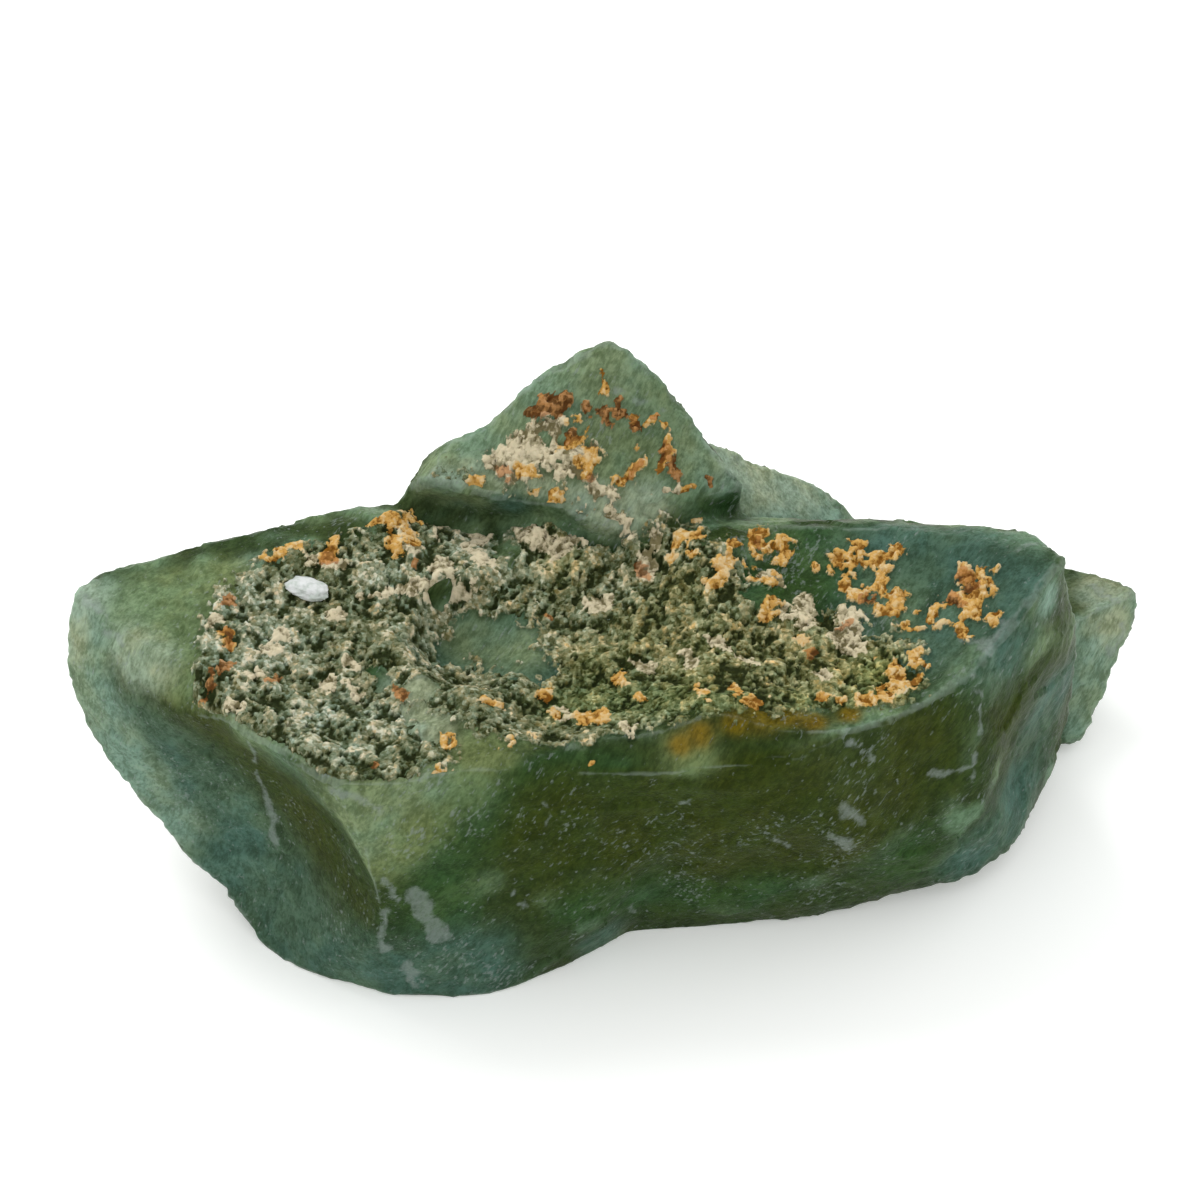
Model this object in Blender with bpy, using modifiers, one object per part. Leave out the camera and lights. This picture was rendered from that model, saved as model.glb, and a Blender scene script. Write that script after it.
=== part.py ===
"""A broken piece of green fluorite with a granular, botryoidal crust on its top.

The stone is built in the order in which it was made and broken. A few convex blocks,
each bounded by flat breaks, are joined into one mass, and shell-shaped fractures are
scooped out of it. Its arrises are worn a little. Then the crust grows on the top as
small rounded lumps, which fuse with the stone. Last, the underside is cut flat: it is
the break on which the stone rests.

Landmarks are in millimetres, measured from the foot of the prow, the corner that
stands furthest forward: +X along the stone, +Y away from its front, +Z up. The
finished stone is moved so that the middle of its footprint is the origin.
"""

import math
import random

import bmesh
import bpy
from mathutils import Vector, noise
from mathutils.bvhtree import BVHTree

MM = 0.001

# How finely the mass and the crust are worked, and how many triangles the stone keeps.
MASS_VOXEL = 0.7
CRUST_VOXEL = 0.6
ARRIS_SMOOTHING = 1
TRIANGLES = 9000

# Every block runs on below the resting plane by this much, and the base cut takes it off.
BURIED = -2.0
SLIVER = 0.04

MASS_BLOCKS = {
    # The left wing, the ridge under its edge, and the prow that stands out at the front.
    "prow_block": [
        # wing tip
        (-50.4, 24.0, 31.8), (-52.0, 21.0, 26.0), (-48.8, 17.4, 17.9), (-48.4, 27.0, 31.6),
        # ridge from the wing to the crest of the prow
        (-39.0, 12.0, 28.6), (-24.3, 0.8, 28.6), (-16.5, 1.2, 29.6), (-9.2, 2.0, 28.5),
        # lower left edge, from the wing down to the foot
        (-44.3, 13.8, 12.2), (-41.6, 11.8, 7.9), (-35.2, 7.6, 2.2), (-30.8, 4.8, BURIED),
        # foot of the prow
        (-20.9, -1.2, 17.1), (-24.8, 3.0, BURIED), (-19.3, 0.6, BURIED),
        (-11.6, 0.6, BURIED), (-4.5, 4.0, BURIED), (0.0, 7.4, BURIED),
        # back edge of the top
        (-38.9, 30.2, 30.3), (-29.3, 33.2, 31.8), (-20.1, 36.2, 32.8), (6.0, 33.0, 31.0),
        # behind and below
        (-47.0, 33.0, 22.0), (-36.0, 42.0, 18.0), (-33.0, 30.0, BURIED), (-26.0, 42.0, BURIED),
        (4.0, 44.0, BURIED), (8.0, 16.0, BURIED), (9.0, 5.5, 22.0), (8.0, 10.0, 30.0),
    ],
    # The thick right half, whose long front face curves round to the right.
    "right_block": [
        # crest of the front face, rounded off between two rows
        (-10.0, 8.5, 31.0), (-3.7, 9.0, 31.2), (9.2, 9.0, 30.8), (18.5, 9.0, 31.3),
        (-3.7, 3.4, 27.5), (9.2, 3.6, 27.0), (18.5, 4.6, 28.0),
        # right end of the crest, up to the corner
        (27.9, 8.6, 30.4), (34.5, 12.0, 30.0), (38.4, 16.8, 31.6), (41.9, 20.8, 34.6),
        (44.7, 25.0, 35.5), (40.9, 31.2, 33.6), (32.4, 35.2, 30.8), (22.7, 37.0, 28.9),
        (15.8, 38.0, 29.0),
        # right edge, from the corner down
        (46.8, 27.0, 22.4), (47.5, 30.0, 11.5), (46.9, 32.0, 3.2),
        # front and right faces
        (24.0, 5.4, 17.0), (36.8, 11.0, 17.0), (43.8, 19.0, 18.0),
        # foot, which rises to the right
        (-2.0, 10.0, BURIED), (9.8, 10.0, BURIED), (19.6, 10.4, 0.8), (27.5, 11.0, 2.6),
        (35.5, 13.4, 2.4), (39.8, 16.2, 3.2), (42.2, 20.0, 2.9), (45.3, 27.0, 3.0),
        # behind and below
        (-12.0, 36.0, 30.0), (-10.0, 14.0, BURIED), (-6.0, 46.0, BURIED),
        (24.0, 15.0, BURIED), (40.0, 30.0, BURIED), (38.0, 42.0, BURIED), (36.0, 44.0, 18.0),
    ],
    # The pale wedge that runs down to the right behind the top.
    "back_wedge": [
        (4.0, 47.5, 34.0), (10.1, 50.0, 29.8), (14.4, 52.0, 24.2), (20.9, 54.0, 18.9),
        (26.3, 55.0, 15.3), (31.1, 56.0, 12.6), (30.0, 40.0, 12.0), (8.0, 38.0, 26.0),
        (-20.0, 44.5, 24.0), (-27.0, 44.0, 6.0), (0.0, 55.0, 10.0), (-27.0, 42.0, BURIED),
        (-8.0, 50.0, BURIED), (26.0, 50.0, BURIED), (28.0, 30.0, BURIED),
    ],
    # The thin flank that stands out low at the far right.
    "right_flank": [
        (31.1, 56.0, 12.4), (49.2, 49.2, 12.3), (52.6, 47.2, 13.3), (55.7, 44.0, 13.9),
        (55.8, 43.0, 11.2), (52.8, 38.0, 6.7), (51.7, 37.0, 4.1), (49.9, 35.0, 1.6),
        (42.0, 34.0, 14.5), (28.0, 44.0, 12.0), (20.0, 50.0, 8.0), (24.0, 50.0, BURIED),
        (42.0, 44.0, BURIED), (44.0, 36.0, BURIED), (30.0, 30.0, BURIED),
    ],
}

# The slab at the back, whose worn top is the peak of the whole stone, and the lower
# shoulder at its left. They stand on the mass, clear of the fractures that hollow the top
# in front of them, and end there in a low wall.
SLAB_BLOCKS = {
    "peak_slab": [
        # outline, from the step over the shoulder to the right end
        (-11.0, 40.5, 38.6), (-9.9, 41.0, 41.0), (-7.0, 42.0, 42.7), (0.7, 44.0, 46.9),
        (2.8, 44.0, 46.2), (6.3, 43.0, 39.2), (9.4, 42.0, 36.6), (14.6, 39.5, 31.2),
        # front lip
        (-8.0, 33.6, 35.9), (-5.3, 32.8, 35.3), (0.5, 31.8, 33.0), (3.8, 31.8, 32.6),
        (6.0, 34.0, 34.2), (9.2, 34.8, 34.3), (14.2, 36.6, 33.8),
        # foot of the wall under the lip
        (-8.0, 35.6, 29.0), (-5.0, 35.0, 29.0), (2.0, 34.2, 28.0), (13.0, 38.5, 27.0),
        # back
        (-1.0, 50.0, 38.0), (8.0, 47.0, 28.0), (-4.0, 52.0, 26.0), (-9.0, 48.0, 30.0),
    ],
    "slab_shoulder": [
        # outline, from the left end to the step
        (-20.2, 37.0, 32.6), (-17.2, 38.0, 36.2), (-14.9, 39.0, 37.8), (-11.6, 40.0, 38.8),
        (-8.0, 41.0, 38.6),
        # front lip
        (-16.8, 33.6, 37.0), (-11.0, 33.6, 35.8), (-6.0, 33.4, 34.4),
        # foot of the wall under the lip
        (-16.4, 36.6, 31.0), (-6.0, 36.4, 29.0),
        # back
        (-14.0, 46.5, 29.0), (-6.0, 48.0, 30.0),
    ],
}

# Shell-shaped fractures: a point that the fracture passes through, the direction that
# the fresh face looks in, the radius of the shell, and how deep it bites at that point.
SHELLS = {
    "left_face_shell": ((-29.5, 5.6, 15.0), (-0.66, -0.75, 0.0), 30.0, 2.6),
    "left_basin": ((-22.0, 15.0, 30.6), (0.0, -0.1, 1.0), 52.0, 2.0),
    "middle_basin": ((-2.0, 21.0, 31.0), (0.0, -0.14, 1.0), 34.0, 3.4),
    "right_basin": ((19.0, 20.0, 31.2), (0.05, -0.1, 1.0), 38.0, 2.4),
    "hollow_under_shoulder": ((-11.5, 33.6, 31.6), (0.0, -0.15, 1.0), 13.0, 1.4),
    "window": ((-11.8, 20.5, 28.6), (-0.1, -0.25, 1.0), 8.0, 2.6),
    "right_face_shell": ((43.5, 21.0, 19.0), (0.8, -0.6, -0.1), 40.0, 0.9),
    "wing_underside": ((-38.0, 38.0, 12.0), (-0.75, 0.6, -0.25), 36.0, 2.6),
    "back_shell": ((-8.0, 51.0, 16.0), (-0.15, 1.0, 0.15), 30.0, 2.8),
    "back_shell_right": ((24.0, 53.0, 8.0), (0.1, 0.98, 0.0), 22.0, 1.8),
}

# Plan outline of the crust, and the round window in it where the mass shows bare.
CRUST_OUTLINE = [
    (-37.0, 12.5), (-37.5, 19.0), (-37.0, 25.0), (-34.0, 29.0), (-28.0, 32.0), (-22.0, 34.0),
    (-18.0, 34.5), (-10.0, 34.0), (-4.0, 33.0), (1.0, 31.5), (6.0, 32.0), (10.0, 34.0),
    (15.5, 31.0), (22.0, 25.5), (28.5, 19.5), (30.5, 14.0), (27.5, 10.0), (18.5, 10.5),
    (9.0, 9.5), (3.5, 11.0), (-3.5, 12.0), (-9.0, 9.0), (-14.5, 5.0), (-17.0, 3.0),
    (-23.5, 2.5), (-28.5, 4.5), (-32.5, 8.0),
]
WINDOW_CENTRE = (-11.5, 19.5)
WINDOW_RADII = (5.5, 6.5)

# The crust's lumps: how far apart they stand, how big they are, how far they stand out.
LUMP_PITCH = 2.7
LUMP_JITTER = 0.42
LUMP_RADII = (1.35, 2.2)
LUMP_STANDS_OUT = (0.5, 1.15)
CRUST_SEED = 7

# Uneven fracture over all the broken faces: how long its waves are, and how high.
FRACTURE_WAVE = 9.0
FRACTURE_HEIGHT = 0.55
FINE_WAVE = 3.5
FINE_HEIGHT = 0.16

STONE_COLOUR = (0.055, 0.115, 0.060, 1.0)
STONE_ROUGHNESS = 0.32


def clear_scene():
    """Starts from a scene without objects."""
    for obj in list(bpy.data.objects):
        bpy.data.objects.remove(obj, do_unlink=True)


def new_collection(name):
    made = bpy.data.collections.new(name)
    bpy.context.scene.collection.children.link(made)
    return made


def linked(name, mesh, collection):
    obj = bpy.data.objects.new(name, mesh)
    collection.objects.link(obj)
    return obj


def helper(name, bm, collection):
    """An object that only shapes the stone: a block to join or a ball to take away."""
    mesh = bpy.data.meshes.new(name)
    bm.to_mesh(mesh)
    bm.free()
    obj = linked(name, mesh, collection)
    obj.hide_render = True
    obj.display_type = "WIRE"
    return obj


def block(name, corners, collection):
    """One convex block: the hull of its corners."""
    bm = bmesh.new()
    for corner in corners:
        bm.verts.new(Vector(corner) * MM)
    hull = bmesh.ops.convex_hull(bm, input=bm.verts)
    inside = [v for v in hull["geom_interior"] if isinstance(v, bmesh.types.BMVert)]
    bmesh.ops.delete(bm, geom=inside, context="VERTS")
    bmesh.ops.recalc_face_normals(bm, faces=bm.faces)
    return helper(name, bm, collection)


def shell(name, point, outward, radius, depth, collection):
    """The ball whose near side is a shell-shaped fracture, depth under the point."""
    centre = Vector(point) + Vector(outward).normalized() * (radius - depth)
    bm = bmesh.new()
    bmesh.ops.create_icosphere(bm, subdivisions=5, radius=radius * MM)
    bmesh.ops.translate(bm, verts=bm.verts, vec=centre * MM)
    return helper(name, bm, collection)


def add_boolean(obj, other, operation):
    modifier = obj.modifiers.new(other.name, "BOOLEAN")
    modifier.operation = operation
    modifier.object = other
    modifier.solver = "EXACT"


def add_even_skin(obj, voxel):
    modifier = obj.modifiers.new("even skin", "REMESH")
    modifier.mode = "VOXEL"
    modifier.voxel_size = voxel * MM


def add_wear(obj, times):
    modifier = obj.modifiers.new("worn arrises", "SMOOTH")
    modifier.factor = 0.5
    modifier.iterations = times


def add_fewer_triangles(obj):
    modifier = obj.modifiers.new("fewer triangles", "DECIMATE")
    triangles = sum(len(face.vertices) - 2 for face in obj.data.polygons)
    modifier.ratio = min(1.0, TRIANGLES / triangles)


def make_permanent(obj):
    """Replaces the mesh of obj by what its modifiers make of it."""
    bpy.context.view_layer.update()
    graph = bpy.context.evaluated_depsgraph_get()
    mesh = bpy.data.meshes.new_from_object(obj.evaluated_get(graph))
    obj.modifiers.clear()
    before = obj.data
    obj.data = mesh
    bpy.data.meshes.remove(before)


def inside_outline(x, y, outline):
    """Whether a plan point lies inside a closed outline."""
    inside = False
    before = outline[-1]
    for corner in outline:
        if (corner[1] > y) != (before[1] > y):
            crossing = (before[0] - corner[0]) * (y - corner[1]) / (before[1] - corner[1]) + corner[0]
            if x < crossing:
                inside = not inside
        before = corner
    return inside


def in_window(x, y):
    across = (x - WINDOW_CENTRE[0]) / WINDOW_RADII[0]
    along = (y - WINDOW_CENTRE[1]) / WINDOW_RADII[1]
    return math.hypot(across, along) < 1.0


def lump_places():
    """Plan points of the lumps: a shaken grid inside the outline, without the window."""
    chance = random.Random(CRUST_SEED)
    west = min(x for x, _ in CRUST_OUTLINE)
    east = max(x for x, _ in CRUST_OUTLINE)
    south = min(y for _, y in CRUST_OUTLINE)
    north = max(y for _, y in CRUST_OUTLINE)
    columns = math.ceil((east - west) / LUMP_PITCH)
    rows = math.ceil((north - south) / LUMP_PITCH)
    for row in range(rows):
        for column in range(columns):
            x = west + (column + 0.5 * (row % 2) + chance.uniform(-LUMP_JITTER, LUMP_JITTER)) * LUMP_PITCH
            y = south + (row + chance.uniform(-LUMP_JITTER, LUMP_JITTER)) * LUMP_PITCH
            radius = chance.uniform(*LUMP_RADII)
            stands_out = chance.uniform(*LUMP_STANDS_OUT)
            if inside_outline(x, y, CRUST_OUTLINE) and not in_window(x, y):
                yield x, y, radius, stands_out


def grow_crust(stone):
    """Sets the lumps of the crust on the top of the stone, half sunk in it."""
    bm = bmesh.new()
    bm.from_mesh(stone.data)
    surface = BVHTree.FromBMesh(bm)
    above = 60.0 * MM
    for x, y, radius, stands_out in lump_places():
        ground, normal, _, _ = surface.ray_cast(Vector((x * MM, y * MM, above)), Vector((0, 0, -1)))
        centre = ground - normal * (radius - stands_out) * MM
        made = bmesh.ops.create_icosphere(bm, subdivisions=2, radius=radius * MM)
        bmesh.ops.translate(bm, verts=made["verts"], vec=centre)
    bm.to_mesh(stone.data)
    bm.free()


def roughen(stone):
    """Gives the flat breaks the slight waves of a real fracture."""
    bm = bmesh.new()
    bm.from_mesh(stone.data)
    bm.normal_update()
    moves = []
    for v in bm.verts:
        place = v.co / MM
        wave = noise.noise(place / FRACTURE_WAVE) * FRACTURE_HEIGHT
        wave += noise.noise(place / FINE_WAVE + Vector((5.0, 5.0, 5.0))) * FINE_HEIGHT
        moves.append(v.normal * wave * MM)
    for v, move in zip(bm.verts, moves):
        v.co += move
    bm.to_mesh(stone.data)
    bm.free()


def cut_base(stone):
    """Cuts the underside off flat at height 0 and closes it."""
    bm = bmesh.new()
    bm.from_mesh(stone.data)
    everything = bm.verts[:] + bm.edges[:] + bm.faces[:]
    cut = bmesh.ops.bisect_plane(
        bm, geom=everything, plane_co=(0, 0, 0), plane_no=(0, 0, 1), clear_inner=True)
    rim = [e for e in cut["geom_cut"] if isinstance(e, bmesh.types.BMEdge)]
    bmesh.ops.holes_fill(bm, edges=rim)
    bmesh.ops.remove_doubles(bm, verts=bm.verts, dist=SLIVER * MM)
    bmesh.ops.triangulate(bm, faces=bm.faces)
    bm.to_mesh(stone.data)
    bm.free()


def centre_on_footprint(stone):
    """Moves the stone so that the middle of its box, at its foot, is the origin."""
    lows = [min(v.co[axis] for v in stone.data.vertices) for axis in range(3)]
    highs = [max(v.co[axis] for v in stone.data.vertices) for axis in range(3)]
    foot = Vector(((lows[0] + highs[0]) / 2, (lows[1] + highs[1]) / 2, lows[2]))
    for v in stone.data.vertices:
        v.co -= foot


def stone_material():
    material = bpy.data.materials.new("green fluorite")
    material.use_nodes = True
    shader = material.node_tree.nodes["Principled BSDF"]
    shader.inputs["Base Color"].default_value = STONE_COLOUR
    shader.inputs["Roughness"].default_value = STONE_ROUGHNESS
    shader.inputs["Metallic"].default_value = 0.0
    return material


def build():
    clear_scene()
    stone_collection = new_collection("botryoidal fluorite")
    helpers = new_collection("blocks and shells")
    blocks = [block(name, corners, helpers) for name, corners in MASS_BLOCKS.items()]
    shells = [shell(name, *values, helpers) for name, values in SHELLS.items()]
    slabs = [block(name, corners, helpers) for name, corners in SLAB_BLOCKS.items()]

    stone = linked("fluorite", blocks[0].data.copy(), stone_collection)
    for other in blocks[1:]:
        add_boolean(stone, other, "UNION")
    for other in shells:
        add_boolean(stone, other, "DIFFERENCE")
    for other in slabs:
        add_boolean(stone, other, "UNION")
    add_even_skin(stone, MASS_VOXEL)
    add_wear(stone, ARRIS_SMOOTHING)
    make_permanent(stone)

    roughen(stone)
    grow_crust(stone)
    add_even_skin(stone, CRUST_VOXEL)
    make_permanent(stone)
    add_fewer_triangles(stone)
    make_permanent(stone)
    cut_base(stone)
    centre_on_footprint(stone)
    stone.data.materials.clear()
    stone.data.materials.append(stone_material())


build()
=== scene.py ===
# %% [markdown]
# # A botryoidal fluorite
#
# The real object is one broken stone, about as long as a hand is wide: a green, slightly
# see-through mass of fluorite with a sugary crust of tiny crystals on its top. Ochre
# and rust have settled in the crust. This lesson dresses a plain solid of that stone, in four
# steps: the mass, the crust, the finishes, and the studio that shows them.
#
# The plain solid comes from a frame file, in metres, with the stone standing on height 0. It
# is never moved or changed here. Every piece below is laid on it, so it stays the measure of
# all sizes. Inside the lesson places are in millimetres, because a stone is easier to think
# about in millimetres.

import math

import bmesh
import bpy
import numpy as np
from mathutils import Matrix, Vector, noise
from mathutils.bvhtree import BVHTree


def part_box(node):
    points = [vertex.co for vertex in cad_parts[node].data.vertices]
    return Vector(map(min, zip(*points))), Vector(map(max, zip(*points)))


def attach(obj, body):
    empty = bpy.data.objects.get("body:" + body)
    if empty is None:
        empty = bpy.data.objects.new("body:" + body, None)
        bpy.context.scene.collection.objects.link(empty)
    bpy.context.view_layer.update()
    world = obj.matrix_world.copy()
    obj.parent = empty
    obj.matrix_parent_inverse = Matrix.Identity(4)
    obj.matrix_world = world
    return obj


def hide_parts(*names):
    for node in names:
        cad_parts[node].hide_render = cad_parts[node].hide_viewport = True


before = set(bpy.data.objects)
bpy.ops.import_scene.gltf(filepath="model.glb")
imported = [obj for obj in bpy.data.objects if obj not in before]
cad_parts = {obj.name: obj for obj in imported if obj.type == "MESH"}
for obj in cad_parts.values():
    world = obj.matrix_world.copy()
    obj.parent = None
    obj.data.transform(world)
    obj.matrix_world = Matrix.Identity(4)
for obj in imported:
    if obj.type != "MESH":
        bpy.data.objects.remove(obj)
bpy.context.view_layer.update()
MM = 0.001
stone_low, stone_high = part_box("fluorite")
stone_size = (stone_high - stone_low) / MM
print("the stone is", [round(side, 1) for side in stone_size], "mm")

# %% [markdown]
# ## The camera first
#
# The stains and bruises of a natural stone have no rule, so they are placed one by one: each one
# is given by where it shows in the picture, and a ray from the camera finds its place on the
# stone. That needs the camera before anything else. A long lens from a good way off keeps the
# stone's edges from spreading, as in a product picture, and the camera looks down at 42
# degrees, so that the crust is seen almost face on.

# %% The camera
PICTURE_SIDE = 1200
LENS = 115.0
SENSOR = 36.0
PITCH = math.radians(42.0)
CAMERA_DISTANCE = 376.0
CAMERA_AIM = Vector((-1.96, 2.8, 25.0))

look = Vector((0.0, math.cos(PITCH), -math.sin(PITCH)))
picture_up = Vector((0.0, math.sin(PITCH), math.cos(PITCH)))
picture_right = Vector((1.0, 0.0, 0.0))
eye = CAMERA_AIM - look * CAMERA_DISTANCE

camera = bpy.data.objects.new("camera", bpy.data.cameras.new("camera"))
camera.location = eye * MM
camera.rotation_euler = (math.radians(90.0) - PITCH, 0.0, 0.0)
camera.data.lens = LENS
camera.data.sensor_width = SENSOR
camera.data.clip_start = 0.01
camera.data.clip_end = 20.0
bpy.context.scene.collection.objects.link(camera)
bpy.context.scene.camera = camera
print("the camera stands", round(eye.length), "mm from the middle of the stone's foot")

# %% Reading and writing a mesh as arrays
def points_of(mesh):
    """The vertices of a mesh in millimetres, one row each."""
    flat = np.empty(len(mesh.vertices) * 3)
    mesh.vertices.foreach_get("co", flat)
    return flat.reshape(-1, 3) / MM


def normals_of(mesh):
    """The direction that each vertex faces, one row each."""
    flat = np.empty(len(mesh.vertices) * 3)
    mesh.vertices.foreach_get("normal", flat)
    return flat.reshape(-1, 3)


def set_points(mesh, points):
    """Moves the vertices of a mesh to these places, given in millimetres."""
    mesh.vertices.foreach_set("co", (points * MM).ravel())
    mesh.update()


def store(mesh, name, values):
    """Keeps one number for each vertex on the mesh, for a finish to read."""
    layer = mesh.attributes.new(name, "FLOAT", "POINT")
    layer.data.foreach_set("value", np.asarray(values, dtype=np.float32))


def tree_of(mesh):
    """A search tree of a mesh, in which a ray quickly finds the face that it meets."""
    bm = bmesh.new()
    bm.from_mesh(mesh)
    tree = BVHTree.FromBMesh(bm)
    bm.free()
    return tree


def smoothstep(start, end, values):
    """0 before start, 1 after end, and a soft rise between them."""
    share = np.clip((values - start) / (end - start), 0.0, 1.0)
    return share * share * (3.0 - 2.0 * share)


# %% [markdown]
# ## The mass
#
# The frame's solid has few, flat faces, which would show as facets in glossy stone. A voxel
# remesh lays an even skin of half-millimetre squares over it, and a light smoothing melts the
# facets. A subdivision surface would be the other way, but it would keep every long thin
# triangle of the solid, and those catch the light badly.

# %% An even skin over the solid
SAME_POINT = 0.002
MASS_VOXEL = 0.45
MELT_STRENGTH = 0.5
MELT_ROUNDS = 3


def even_copy(node, name):
    """A copy of a solid with an even, finely divided skin."""
    bm = bmesh.new()
    bm.from_mesh(node.data)
    bmesh.ops.remove_doubles(bm, verts=bm.verts, dist=SAME_POINT * MM)
    mesh = bpy.data.meshes.new(name)
    bm.to_mesh(mesh)
    bm.free()
    piece = bpy.data.objects.new(name, mesh)
    bpy.context.scene.collection.objects.link(piece)
    remesh = piece.modifiers.new("even skin", "REMESH")
    remesh.mode = "VOXEL"
    remesh.voxel_size = MASS_VOXEL * MM
    melt = piece.modifiers.new("melt facets", "SMOOTH")
    melt.factor = MELT_STRENGTH
    melt.iterations = MELT_ROUNDS
    bpy.context.view_layer.update()
    graph = bpy.context.evaluated_depsgraph_get()
    piece.data = bpy.data.meshes.new_from_object(piece.evaluated_get(graph))
    piece.modifiers.clear()
    return piece


mass = even_copy(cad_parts["fluorite"], "fluorite_mass")
solid_tree = tree_of(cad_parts["fluorite"].data)
print("the mass has", len(mass.data.polygons), "faces")

# %% [markdown]
# ## Places given in the picture
#
# `on_stone` sends a ray from the camera through a point of the 1200 by 1200 picture and
# returns where it meets the stone, in millimetres. Whatever is placed this way sits on the
# stone and stays there when the stone is seen from another side.

# %% From a point of the picture to the stone
def on_stone(across, down):
    """The point of the stone that shows at a place in the picture, in millimetres."""
    half_width = SENSOR / LENS / 2
    offset_right = (across / PICTURE_SIDE - 0.5) * 2 * half_width
    offset_up = (0.5 - down / PICTURE_SIDE) * 2 * half_width
    direction = (look + picture_right * offset_right + picture_up * offset_up).normalized()
    hit = solid_tree.ray_cast(eye * MM, direction)[0]
    return np.array(hit) / MM if hit is not None else None


def nearness_to_lines(points, lines):
    """How close each point is to the nearest streak: 1 on its middle, 0 beyond its reach.

    A streak is two places of the picture, its ends, and a half width in millimetres.
    """
    near = np.zeros(len(points))
    for start_across, start_down, end_across, end_down, reach in lines:
        start = on_stone(start_across, start_down)
        end = on_stone(end_across, end_down)
        if start is None or end is None:
            print("a streak ends off the stone:", start_across, start_down, end_across, end_down)
            continue
        along = np.clip((points - start) @ (end - start) / np.dot(end - start, end - start), 0, 1)
        distance = np.linalg.norm(points - start - along[:, None] * (end - start), axis=1)
        near = np.maximum(near, 1.0 - smoothstep(0.2, 1.0, distance / reach))
    return near


print("the peak is at", on_stone(612, 350))

# %% [markdown]
# ## Crisp arrises
#
# The even skin rounds every arris by a millimetre or two, as if the stone had melted. On a
# broken stone the faces run flat right up to a sharp edge. To get that back, each small face
# takes the mean direction of its neighbours, where a neighbour that looks another way counts
# for little. After some rounds the faces agree on each side of an arris, and nothing is left
# between the two sides but a line. Then the vertices follow, until the faces have the
# directions that were agreed on.

# %% Directions that agree, and vertices that follow
AGREEING_ROUNDS = 60
AGREEMENT = 0.10
FOLLOWING_ROUNDS = 40


def faces_beside(corners):
    """For each four-cornered face, the four faces across its edges."""
    ends = np.roll(corners, -1, axis=1)
    lower = np.minimum(corners, ends).ravel()
    upper = np.maximum(corners, ends).ravel()
    keys = lower * (int(corners.max()) + 1) + upper
    order = np.argsort(keys, kind="stable")
    shared = keys[order][:-1] == keys[order][1:]
    first, second = order[:-1][shared], order[1:][shared]
    across = np.repeat(np.arange(len(corners)), 4)
    across[first] = second // 4
    across[second] = first // 4
    return across.reshape(-1, 4)


def face_directions(points, corners):
    """The direction that each four-cornered face looks in."""
    cross = np.cross(
        points[corners[:, 2]] - points[corners[:, 0]], points[corners[:, 3]] - points[corners[:, 1]]
    )
    return cross / np.linalg.norm(cross, axis=1)[:, None]


def crisped(points, corners):
    """The points, moved so that the faces are flat up to their arrises."""
    across = faces_beside(corners)
    wanted = face_directions(points, corners)
    for _ in range(AGREEING_ROUNDS):
        around = wanted[across]
        apart = ((around - wanted[:, None]) ** 2).sum(axis=2)
        weight = np.exp(-apart / (2 * AGREEMENT**2))
        total = wanted + (around * weight[:, :, None]).sum(axis=1)
        wanted = total / np.linalg.norm(total, axis=1)[:, None]
    users = corners.ravel()
    counts = np.bincount(users, minlength=len(points))
    for _ in range(FOLLOWING_ROUNDS):
        to_middle = points[corners].mean(axis=1)[:, None] - points[corners]
        along = (to_middle * wanted[:, None]).sum(axis=2)
        moves = (wanted[:, None] * along[:, :, None]).reshape(-1, 3)
        columns = [np.bincount(users, column, minlength=len(points)) for column in moves.T]
        points = points + np.stack(columns, axis=1) / counts[:, None]
    return points


mass_corners = np.array([polygon.vertices[:4] for polygon in mass.data.polygons], dtype=np.int64)
before = points_of(mass.data)
set_points(mass.data, crisped(before, mass_corners))
gone = np.linalg.norm(points_of(mass.data) - before, axis=1)
print("vertices moved by up to", round(float(gone.max()), 2), "mm")

# %% [markdown]
# ## Broken faces
#
# A break in fluorite is never quite flat: it has shallow waves, small steps, and tiny chips
# along its arrises. They are real shape, because they show in the outline against a pale
# floor. A vertex that stands proud of its surroundings moves a little further out, and one in
# a hollow further in. Then each vertex moves along its own direction by a sum of noises.
# `noise.noise` is smooth and gives the waves; its absolute value has creases and gives the
# steps and chips. Last, the vertices that share a nearest seed of `noise.voronoi` are tilted
# together, by a few degrees, into small flat facets.
#
# `noise.noise_vector`, which gives those tilts, is shifted by a random amount that Blender takes
# from the clock, unless a seed is set. With one, the stone comes out the same on every run.

# %% Neighbours, and noise on many points at once
NOISE_SEED = 7

noise.seed_set(NOISE_SEED)


def neighbour_mean(mesh):
    """A function that gives each vertex the mean of its neighbours' numbers."""
    pairs = np.empty(len(mesh.edges) * 2, dtype=np.int64)
    mesh.edges.foreach_get("vertices", pairs)
    ends = pairs.reshape(-1, 2)
    here = np.concatenate((ends[:, 0], ends[:, 1]))
    there = np.concatenate((ends[:, 1], ends[:, 0]))
    size = len(mesh.vertices)
    counts = np.bincount(here, minlength=size)

    def mean(values):
        columns = [np.bincount(here, column[there], minlength=size) for column in values.T]
        return np.stack(columns, axis=1) / counts[:, None]

    return mean


def blurred(mean, values, times):
    """A column of numbers, evened out over the mesh."""
    column = values[:, None]
    for _ in range(times):
        column = mean(column)
    return column[:, 0]


def noise_at(points, length, shift=0.0):
    """Smooth noise, mostly between -0.6 and 0.6, whose waves are about length long."""
    scaled = points / length + shift
    return np.array([noise.noise(Vector(place)) for place in scaled])


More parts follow.
